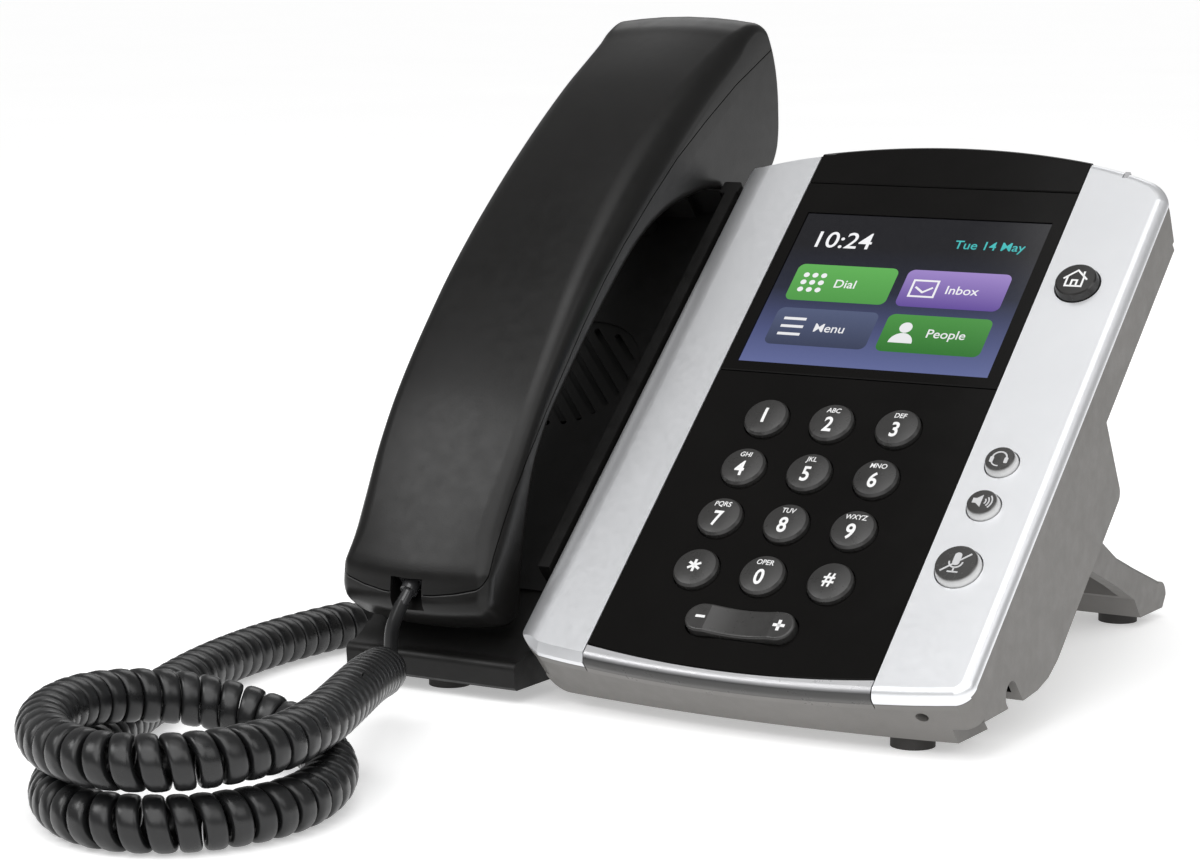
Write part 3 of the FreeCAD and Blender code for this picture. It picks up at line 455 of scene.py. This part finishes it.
def loose(name, points, faces):
    me = bpy.data.meshes.new(name)
    me.from_pydata([tuple(p) for p in points], [], [tuple(f) for f in faces])
    bm = bmesh.new()
    bm.from_mesh(me)
    bmesh.ops.remove_doubles(bm, verts=bm.verts, dist=1e-7)
    bmesh.ops.recalc_face_normals(bm, faces=bm.faces)
    bm.to_mesh(me)
    bm.free()
    ob = bpy.data.objects.new(name, me)
    scene.collection.objects.link(ob)
    return ob


# ------------------------------------------------------------------ the cord
# Route over the desk in millimetres, from the handset's plug through the curled
# part to the plug behind the phone.
LEAD = [(-92.2, -94.97, 24.77), (-91.9, -99.2, 20.95), (-89.8, -103.6, 18.2), (-86.8, -108.0, 16.2), (-84.1, -112.4, 14.5), (-82.0, -117.0, 13.0)]
COIL = [(-82.0, -117.0, 13.0), (-70.5, -141.0, 16.8), (-57.5, -167.0, 19.4), (-45.5, -195.0, 20.3), (-40.5, -219.0, 20.3), (-48.0, -239.5, 20.1),
        (-65.0, -249.0, 20.0), (-86.5, -241.0, 19.9), (-102.5, -223.0, 20.1), (-107.0, -201.0, 20.0), (-96.0, -181.0, 17.6), (-76.0, -172.0, 12.4),
        (-57.0, -177.0, 7.6), (-43.5, -194.0, 6.5), (-38.5, -217.0, 6.45), (-48.0, -239.0, 6.45), (-67.0, -248.0, 6.5), (-87.0, -238.5, 6.45),
        (-101.2, -217.5, 6.45), (-113.0, -190.0, 6.5), (-127.0, -157.0, 6.45), (-138.5, -122.0, 6.5), (-143.5, -90.0, 6.45), (-142.5, -63.0, 6.5), (-138.5, -42.0, 6.5)]
TAIL = [(-138.5, -42.0, 6.5), (-135.5, -27.5, 4.4), (-129.5, -12.5, 2.6), (-118.0, -1.0, 2.4), (-106.0, 0.5, 4.6), (-98.5, -6.5, 9.6), (-97.0, -15.4, 14.2), (-97.0, -21.14, 20.16)]
route = [desk(*p) for p in LEAD + COIL[1:] + TAIL[1:]]

line = bpy.data.curves.new("route", "CURVE")
line.dimensions = "3D"
line.resolution_u = 40
spline = line.splines.new("NURBS")
spline.points.add(len(route) - 1)
for q, p in zip(spline.points, route):
    q.co = (*p, 1.0)
spline.order_u = 3
spline.use_endpoint_u = True
line_ob = bpy.data.objects.new("route", line)
scene.collection.objects.link(line_ob)
shape = bpy.data.meshes.new_from_object(line_ob.evaluated_get(bpy.context.evaluated_depsgraph_get()))
axis = np.array([v.co for v in shape.vertices], float).reshape(-1, 3) * 1000.0
bpy.data.objects.remove(line_ob)
bpy.data.curves.remove(line)
bpy.data.meshes.remove(shape)
if np.linalg.norm(axis[0] - np.array(route[0]) * 1000.0) > np.linalg.norm(axis[-1] - np.array(route[0]) * 1000.0):
    axis = axis[::-1]
run = np.concatenate([[0.0], np.cumsum(np.linalg.norm(np.diff(axis, axis=0), axis=1))])


def nearest(p):
    return float(run[np.argmin(np.linalg.norm(axis - np.array(desk(*p)) * 1000.0, axis=1))])


start, stop = nearest(COIL[0]), nearest(COIL[-1])
step = 0.22
s = np.arange(0.0, run[-1], step)
s = np.append(s, run[-1])
centre = np.stack([np.interp(s, run, axis[:, k]) for k in range(3)], 1)
along = np.gradient(centre, s, axis=0)
kernel = np.ones(9) / 9.0
along = np.stack([np.convolve(np.pad(along[:, k], 4, mode="edge"), kernel, mode="valid") for k in range(3)], 1)
along /= np.linalg.norm(along, axis=1)[:, None]
side = np.zeros_like(along)
first = np.cross(along[0], (0.0, 0.0, 1.0))
side[0] = first / np.linalg.norm(first)
for i in range(1, len(s)):
    v = side[i - 1] - along[i] * (side[i - 1] @ along[i])
    side[i] = v / np.linalg.norm(v)
other = np.cross(along, side)


def ease(x):
    x = np.clip(x, 0.0, 1.0)
    return x * x * (3.0 - 2.0 * x)


PITCH, CURL, WIDE, THICK = 5.25, 4.75, 4.9, 3.1
curled = ease((s - start + 4.0) / 13.0) * ease((stop + 4.0 - s) / 13.0)
phase = np.cumsum(2.0 * math.pi / PITCH * np.clip(curled * 1.6, 0.0, 1.0)) * step + 0.6
radial = np.cos(phase)[:, None] * side + np.sin(phase)[:, None] * other
wire = centre + radial * (CURL * curled)[:, None]


# Where the curl bends, its turns crowd together on the inside, and the band is
# only as wide as the room between them.
room = np.full(len(s), 99.0)
for hop in (-PITCH, PITCH):
    beside = np.stack([np.interp(s + hop, s, wire[:, k]) for k in range(3)], 1)
    room = np.minimum(room, np.linalg.norm(beside - wire, axis=1))
width = np.minimum(3.4 + (WIDE - 3.4) * curled, np.where(curled > 0.9, 0.95 * room, 99.0))
depth = 3.0 + (THICK - 3.0) * curled


def tube(points, outward, wide, deep):
    """Rings of a soft oval around the wire, flat side out, closed at both ends."""
    tan = np.gradient(points, axis=0)
    tan /= np.linalg.norm(tan, axis=1)[:, None]
    out = outward - tan * np.sum(outward * tan, axis=1)[:, None]
    out /= np.linalg.norm(out, axis=1)[:, None]
    flat = np.cross(tan, out)
    k = 18
    ring = []
    for i in range(k):
        a = 2.0 * math.pi * i / k
        ca, sa = math.cos(a), math.sin(a)
        x = (math.copysign(abs(ca) ** 0.70, ca) / 2.0) * wide[:, None]
        y = (math.copysign(abs(sa) ** 0.62, sa) / 2.0) * deep[:, None]
        ring.append(points + flat * x + out * y)
    pts = np.stack(ring, 1).reshape(-1, 3)
    n = len(points)
    faces = [(r * k + i, r * k + (i + 1) % k, (r + 1) * k + (i + 1) % k, (r + 1) * k + i) for r in range(n - 1) for i in range(k)]
    faces += [tuple(range(k))[::-1], tuple((n - 1) * k + i for i in range(k))]
    return pts / 1000.0, faces


def length_of(points):
    return float(np.sum(np.linalg.norm(np.diff(points, axis=0), axis=1))) / 1000.0


# Plugs at both ends: a stepped body, a spring latch and a short sleeve around the wire.
def upright(solid, at):
    """Turns a solid drawn on (u, w) and raised along z into one that runs along v."""
    p, f = solid
    return [(x, at - z, y) for x, y, z in p], f


h = Heap()
h.put(*upright(prism(rounded(-95.6, 3.7, -88.8, 8.6, 0.5, 3), 0.0, 9.6), -105.4))
h.put(*upright(prism(rounded(-94.4, 8.5, -90.0, 9.5, 0.3, 3), 0.0, 8.6), -105.6))
h.put(*upright(prism(disc(-92.2, 6.9, 2.35, 24), 0.0, 3.4), -114.4))
h.put(*upright(prism(disc(-92.2, 6.9, 1.62, 24), 0.0, 6.0), -116.4))
plug = h.made("handset_plug_moulding", "plug", "handset", 40)
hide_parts("handset_plug")
h = Heap()
h.put(*prism(rounded(-100.6, -72.9, -93.4, -68.2, 0.5, 3), -42.6, -30.7))
h.put(*prism(rounded(-99.2, -68.3, -94.8, -67.2, 0.3, 3), -41.6, -31.4))
h.put(*prism(rounded(-99.6, -72.2, -94.4, -67.8, 1.2, 4), -45.9, -42.2))
far_plug = h.made("console_plug_moulding", "plug", "console", 40)
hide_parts("console_plug")

part_at = int(np.argmin(np.abs(s - nearest(COIL[2]))))
keep_step = np.where(curled > 0.02, 1, 5)
chosen = [0]
for i in range(1, len(s)):
    if i - chosen[-1] >= keep_step[i] or i in (part_at, len(s) - 1):
        chosen.append(i)
chosen = np.array(chosen)
front = chosen[chosen <= part_at]
rest = chosen[chosen >= part_at]

pts, faces = tube(wire[front], radial[front], width[front], depth[front])
cord_front = piece("cord_front_wire", pts, faces, "cord", None, 60, merge=False)
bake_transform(cord_front)
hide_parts("cord_lead")
length_of(wire[front])
[tuple(p / 1000.0) for p in wire[front]]

pts, faces = tube(wire[rest], radial[rest], width[rest], depth[rest])
cord_rest = piece("cord_curl_wire", pts, faces, "cord", "console", 60, merge=False)
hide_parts("cord_coil", "cord_tail")
length_of(wire[rest])
[tuple(p / 1000.0) for p in wire[rest]]
print("cord wire", round(length_of(wire[front]), 3), round(length_of(wire[rest]), 3))

# ------------------------------------------------------------------ handset
OUTLINE = [(80.0, 19.3), (73.5, 21.1), (52.5, 26.0), (32.9, 29.3), (15.5, 31.1), (-0.6, 31.8), (-15.7, 31.7), (-29.8, 31.0),
           (-43.1, 29.5), (-55.9, 27.7), (-68.2, 25.5), (-79.7, 22.7), (-90.8, 19.5), (-101.6, 16.0), (-109.0, 13.5), (-113.2, 12.0), (-115.2, 11.0),
           (-117.5, 9.1), (-119.7, 6.9), (-120.8, 4.6), (-121.0, 2.2), (-119.9, -2.0), (-118.0, -6.8), (-115.0, -10.0), (-110.6, -10.5), (-105.4, -7.3),
           (-101.0, -3.9), (-90.0, 4.4), (-79.5, 11.6), (-68.0, 15.6), (-50.0, 17.0), (-22.0, 17.2), (-2.0, 15.8), (13.0, 11.8),
           (24.0, 6.4), (33.5, 0.2), (40.0, -6.4), (46.5, -13.4), (54.5, -18.8), (60.5, -21.2), (66.4, -22.0), (71.8, -20.7), (76.0, -17.8),
           (80.0, -13.5), (84.0, -8.3), (87.3, -2.3), (89.5, 4.2), (90.0, 10.4), (86.6, 16.0)]
SEAM = [(99.0, 0.0), (85.7, 4.2), (63.8, 11.4), (45.0, 16.0), (26.4, 19.9), (8.7, 21.9), (-9.0, 23.3), (-23.0, 23.6), (-38.0, 22.8),
        (-53.0, 21.3), (-66.0, 20.0), (-80.0, 17.9), (-89.0, 15.9), (-97.0, 13.5), (-104.0, 11.3), (-110.0, 9.6), (-115.0, 8.3), (-119.0, 7.5), (-135.0, 6.4)]
SIDE_R, SIDE_L = -69.0, -115.4


def smooth_loop(points, per):
    """Closed curve through the points, spaced by the root of their distance."""
    p = np.asarray(points, float)
    n = len(p)
    out = []
    for i in range(n):
        a, b, c, d = p[(i - 1) % n], p[i], p[(i + 1) % n], p[(i + 2) % n]
        t0 = 0.0
        t1 = t0 + np.linalg.norm(b - a) ** 0.5
        t2 = t1 + np.linalg.norm(c - b) ** 0.5
        t3 = t2 + np.linalg.norm(d - c) ** 0.5
        for k in range(per):
            t = t1 + (t2 - t1) * k / per
            a1 = (t1 - t) / (t1 - t0) * a + (t - t0) / (t1 - t0) * b
            a2 = (t2 - t) / (t2 - t1) * b + (t - t1) / (t2 - t1) * c
            a3 = (t3 - t) / (t3 - t2) * c + (t - t2) / (t3 - t2) * d
            b1 = (t2 - t) / (t2 - t0) * a1 + (t - t0) / (t2 - t0) * a2
            b2 = (t3 - t) / (t3 - t1) * a2 + (t - t1) / (t3 - t1) * a3
            out.append((t2 - t) / (t2 - t1) * b1 + (t - t1) / (t2 - t1) * b2)
    return np.asarray(out)


ring = smooth_loop(OUTLINE, 7)
tan = np.roll(ring, -1, axis=0) - np.roll(ring, 1, axis=0)
tan /= np.linalg.norm(tan, axis=1)[:, None]
inward = np.stack([-tan[:, 1], tan[:, 0]], 1)
if np.mean(np.sum(inward * (ring.mean(axis=0) - ring), axis=1)) < 0:
    inward = -inward
# Corner radius along the outline: large over the back, small at the ends and inside.
is_back = inward[:, 1] < -0.6
want = np.where(is_back, 8.0, 4.4)
want = np.where((ring[:, 0] > 20.0) & (inward[:, 1] > 0.2), 1.4, want)
want = np.where(ring[:, 0] > 74.0, 2.2, np.where(ring[:, 0] < -108.0, 3.6, want))
reach = 22
weights = np.hanning(2 * reach + 1)
weights /= weights.sum()
corner = np.convolve(np.concatenate([want[-reach:], want, want[:reach]]), weights, mode="valid")
mid_u, half_u = (SIDE_R + SIDE_L) / 2.0, (SIDE_R - SIDE_L) / 2.0
crown = 0.7 * np.clip(-inward[:, 1], 0.0, 1.0)
# The corners of the two faces share the thickness of the grip.
edge = np.roll(ring, -1, axis=0) - ring
thick = []
for p, n in zip(ring, inward):
    cross = n[0] * edge[:, 1] - n[1] * edge[:, 0]
    cross = np.where(np.abs(cross) < 1e-9, 1e-9, cross)
    rel = ring - p
    t = (rel[:, 0] * edge[:, 1] - rel[:, 1] * edge[:, 0]) / cross
    k = (rel[:, 0] * n[1] - rel[:, 1] * n[0]) / cross
    thick.append(np.min(t[(k >= -0.001) & (k <= 1.001) & (t > 1.0)], initial=60.0))
thick = np.minimum.reduce([np.roll(np.array(thick), k) for k in range(-4, 5)])
corner = np.minimum(corner, np.where(inward[:, 1] < 0.0, 0.54 * thick - crown, 0.30 * thick))
corner = np.convolve(np.concatenate([corner[-6:], corner, corner[:6]]), np.ones(13) / 13.0, mode="valid")
rows = []
for a in np.linspace(0.0, 90.0, 9):
    sa, ca = math.sin(math.radians(a)), math.cos(math.radians(a))
    inset = corner * (1.0 - sa) + crown
    u = SIDE_R - corner * (1.0 - ca)
    rows.append(np.column_stack([u, ring + inward * inset[:, None]]))
flat_u = half_u - corner
for x in (0.72, 0.4, 0.0, -0.4, -0.72):
    rows.append(np.column_stack([mid_u + flat_u * x, ring + inward * (crown * x * x)[:, None]]))
for r in rows[8::-1]:
    rows.append(np.column_stack([2.0 * mid_u - r[:, 0], r[:, 1:]]))
count = len(ring)
pts = np.concatenate(rows)
# Both ends are curved in plan.
across = ((pts[:, 0] - mid_u) / half_u) ** 2
pts[:, 1] += 2.5 * across * ease((-96.0 - pts[:, 1]) / 20.0) - 1.8 * across * ease((pts[:, 1] - 46.0) / 20.0)
# The outer side draws in a little towards the mouth end.
pts[:, 0] += 0.9 * ease((-10.0 - pts[:, 1]) / 90.0) * (0.5 - 0.5 * (pts[:, 0] - mid_u) / half_u)
faces = [(j * count + i, j * count + (i + 1) % count, (j + 1) * count + (i + 1) % count, (j + 1) * count + i) for j in range(len(rows) - 1) for i in range(count)]
faces += [tuple(range(count))[::-1], tuple((len(rows) - 1) * count + i for i in range(count))]


def seam_region(above, gap=0.17):
    gap = -gap if above else gap
    far = 70.0 if above else -50.0
    poly = [(v, w + gap) for v, w in SEAM] + [(SEAM[-1][0], far), (SEAM[0][0], far)]
    n = len(poly)
    q = [(-125.0, v, w) for v, w in poly] + [(-60.0, v, w) for v, w in poly]
    f = [tuple(range(n)), tuple(range(n, 2 * n))[::-1]] + [(i, n + i, n + (i + 1) % n, (i + 1) % n) for i in range(n)]
    return loose("region", face_all(q), f)


for name, node, above in (("handset_outer_shell", "handset_back", True), ("handset_inner_shell", "handset_front", False)):
    shell = loose(name, face_all(pts), faces)
    cut(shell, seam_region(not above), "DIFFERENCE")
    pocket = Heap()
    pocket.put(*prism(rounded(-97.0, -135.0, -87.4, -106.0, 0.6, 3), 3.5, 10.3))
    cut(shell, loose("pocket", face_all(pocket.points), pocket.faces), "DIFFERENCE")
    if not above:
        holes = Heap()
        for k in range(7):
            r, a = (0.0, 0.0) if k == 0 else (5.2, k * math.pi / 3.0)
            q, f = prism(disc(-92.2 + r * math.cos(a), 61.0 + r * math.sin(a), 1.15, 18), -30.0, -9.6)
            holes.put(q, f)
        for x in (-3.6, 0.0, 3.6):
            q, f = prism(disc(-92.2 + x, -108.0, 0.8, 16), -30.0, -6.6)
            holes.put(q, f)
        cut(shell, loose("holes", face_all(holes.points), holes.faces), "DIFFERENCE")
    shell.data.materials.clear()
    shell.data.materials.append(M["handset_black"])
    for f in shell.data.polygons:
        f.use_smooth = True
    shell.data.set_sharp_from_angle(angle=math.radians(28))
    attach(shell, "handset")
    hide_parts(node)

# A near-black tongue inside the seam, painted shade: it shows as a dark line between the shells where the gap would
# otherwise catch light.
core = np.array(pts)
core[:, 0] = mid_u + (core[:, 0] - mid_u) * (1.0 - 0.14 / half_u)
core[:, 1:] += np.tile(inward, (len(rows), 1)) * 0.14
tongue = loose("handset_seam_tongue", face_all(core), faces)
cut(tongue, seam_region(True, -0.45), "DIFFERENCE")
cut(tongue, seam_region(False, -0.45), "DIFFERENCE")
slit = Heap()
slit.put(*prism(rounded(-97.4, -135.0, -87.0, -105.6, 0.6, 3), 3.1, 20.0))
cut(tongue, loose("slit", face_all(slit.points), slit.faces), "DIFFERENCE")
tongue.data.materials.clear()
tongue.data.materials.append(M["seam_painted_shade"])
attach(tongue, "handset")

# The tray rises under the ear cup and closes beside it at its upper end.
under = ring[(ring[:, 0] > 30.0) & (ring[:, 0] < 52.0) & (inward[:, 1] > 0.2)]
under = under[np.argsort(under[:, 0])]
steps = np.linspace(36.2, 43.7, 12)
rise = np.interp(steps, under[:, 0], under[:, 1]) - 0.22
q = [c for v, w in zip(steps, rise) for c in ((-78.2, v, w), (-68.4, v, w), (-68.4, v, -12.3), (-78.2, v, -12.3))]
f = [(4 * i + k, 4 * i + (k + 1) % 4, 4 * i + 4 + (k + 1) % 4, 4 * i + 4 + k) for i in range(len(steps) - 1) for k in range(4)]
f += [(0, 1, 2, 3), tuple(4 * (len(steps) - 1) + k for k in (3, 2, 1, 0))]
h = Heap()
h.put(q, f)
h.put(*prism(rounded(-68.5, 36.4, -63.0, 40.6, 0.7, 4), -12.3, -3.6))
h.made("cradle_end_rest", "cradle_black", "console", 35)

# ------------------------------------------------------------------ key legends
COLUMNS, ROWS = (-19.2, -0.5, 18.2), (-46.5, -63.1, -79.7, -96.3)
DIAL = [("key_1", "1", ""), ("key_2", "2", "ABC"), ("key_3", "3", "DEF"), ("key_4", "4", "GHI"), ("key_5", "5", "JKL"), ("key_6", "6", "MNO"),
        ("key_7", "7", "PQRS"), ("key_8", "8", "TUV"), ("key_9", "9", "WXYZ"), ("key_star", "*", ""), ("key_0", "0", "OPER"), ("key_hash", "#", "")]
for k, (key, sign, word) in enumerate(DIAL):
    u0, v0 = COLUMNS[k % 3], ROWS[k // 3]

    def dome(u, v, lift=0.0):
        return 2.15 - 0.55 * ((u - u0) ** 2 + (v - v0) ** 2) / 5.5 ** 2 + lift

    def low(u, v):
        return dome(u, v, -0.05)

    def high(u, v):
        return dome(u, v, 0.035)

    h = Heap()
    if word:
        h.put(*letters(sign, u0, v0 - 1.25, 6.3, low, high, bold=0.022, narrow=0.84))
        h.put(*letters(word, u0, v0 + 3.35, 2.35, low, high, bold=0.012, narrow=0.84))
    elif sign == "*":
        for a in (90, 150, 210):
            ca, sa = math.cos(math.radians(a)), math.sin(math.radians(a))
            h.put(*prism(stroke([(u0 - 1.9 * ca, v0 - 1.9 * sa), (u0 + 1.9 * ca, v0 + 1.9 * sa)], 0.72), low, high))
    else:
        h.put(*letters(sign, u0, v0, 6.6 if sign == "1" else 5.6, low, high, bold=0.022, narrow=0.88))
    h.made("legend_" + key, "legend", key)

h = Heap()
h.put(*prism(stroke([(-12.6, -111.3), (-10.0, -111.3)], 0.75), 1.95, 2.035))
h.put(*prism(stroke([(8.8, -111.3), (12.0, -111.3)], 0.85), 1.95, 2.035))
h.put(*prism(stroke([(10.4, -112.9), (10.4, -109.7)], 0.85), 1.95, 2.035))
h.made("legend_volume_rocker", "legend", "volume")

# Icons of the side keys.
h = Heap()
u0, v0 = 49.6, 5.9
pen = 0.5
for part in ([(-3.2, -0.1), (0.0, 2.9), (3.2, -0.1)], [(-2.2, 0.7), (-2.2, -2.5), (2.2, -2.5), (2.2, 0.7)], [(-0.7, -2.4), (-0.7, -0.5), (0.7, -0.5), (0.7, -2.4)], [(1.9, 2.6), (1.9, 1.2)]):
    h.put(*prism(stroke([(u0 + a, v0 + b) for a, b in part], pen), 2.29, 2.432))
h.made("icon_home_key", "legend", "home_key")

h = Heap()
u0, v0 = 49.1, -54.3
h.put(*prism(stroke(arc(u0, v0, 1.9, -10, 190), 0.42), 2.29, 2.432))
for x in (-1.9, 1.9):
    h.put(*prism(rounded(u0 + x - 0.5, v0 - 1.5, u0 + x + 0.5, v0 + 0.3, 0.3, 4), 2.29, 2.436))
h.put(*prism(stroke(arc(u0, v0 - 0.6, 1.9, 205, 280), 0.34), 2.29, 2.432))
h.made("icon_headset_key", "legend_grey", "headset_key")

h = Heap()
u0, v0 = 49.0, -68.1
h.put(*prism([(u0 + a, v0 + b) for a, b in ((-2.3, 0.75), (-1.3, 0.75), (0.1, 1.9), (0.1, -1.9), (-1.3, -0.75), (-2.3, -0.75))], 2.29, 2.432))
for r in (1.1, 1.9, 2.7):
    h.put(*prism(stroke(arc(u0 + 0.1, v0, r, -42, 42, 8), 0.36), 2.29, 2.432))
h.made("icon_speaker_key", "legend_grey", "speaker_key")

h = Heap()
u0, v0 = 49.0, -87.3
h.put(*prism(rounded(u0 - 0.95, v0 - 0.9, u0 + 0.95, v0 + 3.0, 0.94, 6), 2.29, 2.432))
h.put(*prism(stroke(arc(u0, v0 + 0.2, 1.75, 180, 360), 0.42), 2.29, 2.432))
h.put(*prism(stroke([(u0, v0 - 1.5), (u0, v0 - 2.9)], 0.42), 2.29, 2.432))
h.put(*prism(stroke([(u0 - 1.4, v0 - 2.9), (u0 + 1.4, v0 - 2.9)], 0.42), 2.29, 2.432))
h.put(*prism(stroke([(u0 - 3.3, v0 - 2.9), (u0 + 3.3, v0 + 2.9)], 0.46), 2.29, 2.44))
h.made("icon_mute_key", "legend_grey", "mute_key")

# ------------------------------------------------------------------ display
M["ui_green"] = glowing("ui_green", (0.020, 0.160, 0.018), (0.110, 0.420, 0.085), 1.0)
M["ui_purple"] = glowing("ui_purple", (0.110, 0.060, 0.300), (0.330, 0.230, 0.560), 1.0)
M["ui_slate"] = glowing("ui_slate", (0.030, 0.040, 0.085), (0.075, 0.095, 0.180), 1.0)
M["ui_white"] = glowing("ui_white", (0.80, 0.80, 0.82), (0.92, 0.92, 0.94), 1.0)
M["ui_teal"] = glowing("ui_teal", (0.040, 0.420, 0.420), (0.060, 0.520, 0.520), 1.0)
GLASS = -0.3


def lit(name, kind, solids, top):
    h = Heap()
    for outline in solids:
        h.put(*prism(outline, GLASS - 0.05, GLASS + top))
    return h.made(name, kind, "console")


lit("ui_tiles_green", "ui_green", [rounded(-31.0, -4.6, -1.4, 8.4, 2.0), rounded(1.4, -20.4, 31.0, -7.4, 2.0)], 0.03)
lit("ui_tiles_purple", "ui_purple", [rounded(1.4, -4.6, 31.0, 8.4, 2.0)], 0.03)
lit("ui_tile_slate", "ui_slate", [rounded(-31.0, -20.4, -1.4, -7.4, 2.0)], 0.03)
h = Heap()
h.put(*letters("10:24", -31.0, 17.6, 8.2, GLASS - 0.05, GLASS + 0.03, bold=0.004, align="LEFT"))
for word, u, v in (("Dial", -18.5, 1.9), ("Inbox", 13.9, 1.9), ("Menu", -18.5, -13.9), ("People", 13.9, -13.9)):
    h.put(*letters(word, u, v, 4.1, GLASS - 0.05, GLASS + 0.05, bold=0.006, align="LEFT"))
for a in range(3):
    for b in range(3):
        h.put(*prism(disc(-27.6 + 2.6 * a, -0.7 + 2.6 * b, 0.85, 16), GLASS - 0.05, GLASS + 0.05))
h.put(*prism(stroke([(4.2, -0.9), (4.2, 4.7), (11.2, 4.7), (11.2, -0.9), (3.9, -0.9)], 0.6), GLASS - 0.05, GLASS + 0.05))
h.put(*prism(stroke([(5.2, 2.4), (7.7, 0.6), (10.2, 2.4)], 0.6), GLASS - 0.05, GLASS + 0.05))
for y in (-16.6, -13.9, -11.2):
    h.put(*prism(stroke([(-28.2, y), (-21.6, y)], 0.9), GLASS - 0.05, GLASS + 0.05))
h.put(*prism(disc(7.6, -11.9, 1.8, 20), GLASS - 0.05, GLASS + 0.05))
h.put(*prism([(4.2, -17.2)] + arc(7.6, -17.2, 3.4, 180, 0, 12)[1:], GLASS - 0.05, GLASS + 0.05))
h.made("ui_words", "ui_white", "console")
h = Heap()
h.put(*letters("Tue 14 May", 31.0, 17.6, 4.2, GLASS - 0.05, GLASS + 0.03, bold=0.006, align="RIGHT"))
h.made("ui_date", "ui_teal", "console")

# ------------------------------------------------------------------ studio
floor = bpy.data.objects.new("floor", bpy.data.meshes.new("floor"))
floor.data.from_pydata([(-40, -20, 0), (40, -20, 0), (40, 80, 0), (-40, 80, 0)], [], [(0, 1, 2, 3)])
scene.collection.objects.link(floor)
m, t, p = shader("floor")
t.links.new(ramp(t, noise(t, coords(t), 3.0), (0.3, (0.86, 0.86, 0.86)), (0.7, (0.88, 0.88, 0.88))), p.inputs["Base Color"])
p.inputs["Roughness"].default_value = 0.9
p.inputs["Specular IOR Level"].default_value = 0.1
p.inputs["Emission Color"].default_value = (1.0, 1.0, 1.0, 1.0)
p.inputs["Emission Strength"].default_value = 0.40
floor.data.materials.append(m)

world = bpy.data.worlds.new("studio")
scene.world = world
world.use_nodes = True
world.node_tree.nodes["Background"].inputs["Color"].default_value = (1.0, 1.0, 1.0, 1.0)
world.node_tree.nodes["Background"].inputs["Strength"].default_value = 0.27


def softbox(name, at, aim, wide, tall, power):
    d = bpy.data.lights.new(name, "AREA")
    d.shape, d.size, d.size_y, d.energy = "RECTANGLE", wide, tall, power
    o = bpy.data.objects.new(name, d)
    scene.collection.objects.link(o)
    o.location = at
    o.rotation_mode = "QUATERNION"
    o.rotation_quaternion = (Vector(aim) - Vector(at)).to_track_quat("-Z", "Y")
    return o


sun = bpy.data.objects.new("sky", bpy.data.lights.new("sky", "SUN"))
sun.data.energy, sun.data.angle = 1.75, math.radians(62.0)
scene.collection.objects.link(sun)
sun.rotation_mode = "QUATERNION"
sun.rotation_quaternion = Vector((-0.22, 0.62, -0.75)).to_track_quat("-Z", "Y")
softbox("right", (1.15, -0.35, 0.85), (0.0, 0.0, 0.08), 0.8, 0.8, 3.0)
softbox("behind", (-0.5, 1.1, 1.0), (-0.05, 0.0, 0.1), 0.9, 0.6, 2.2)
softbox("left", (-0.775, -0.853, 0.988), (-0.0665, -0.0786, 0.0639), 0.62, 0.5, 4.4)
softbox("above", (-0.02, -0.36, 1.30), (-0.02, -0.36, 0.0), 0.86, 0.90, 2.3)
scene.view_settings.view_transform = "Standard"
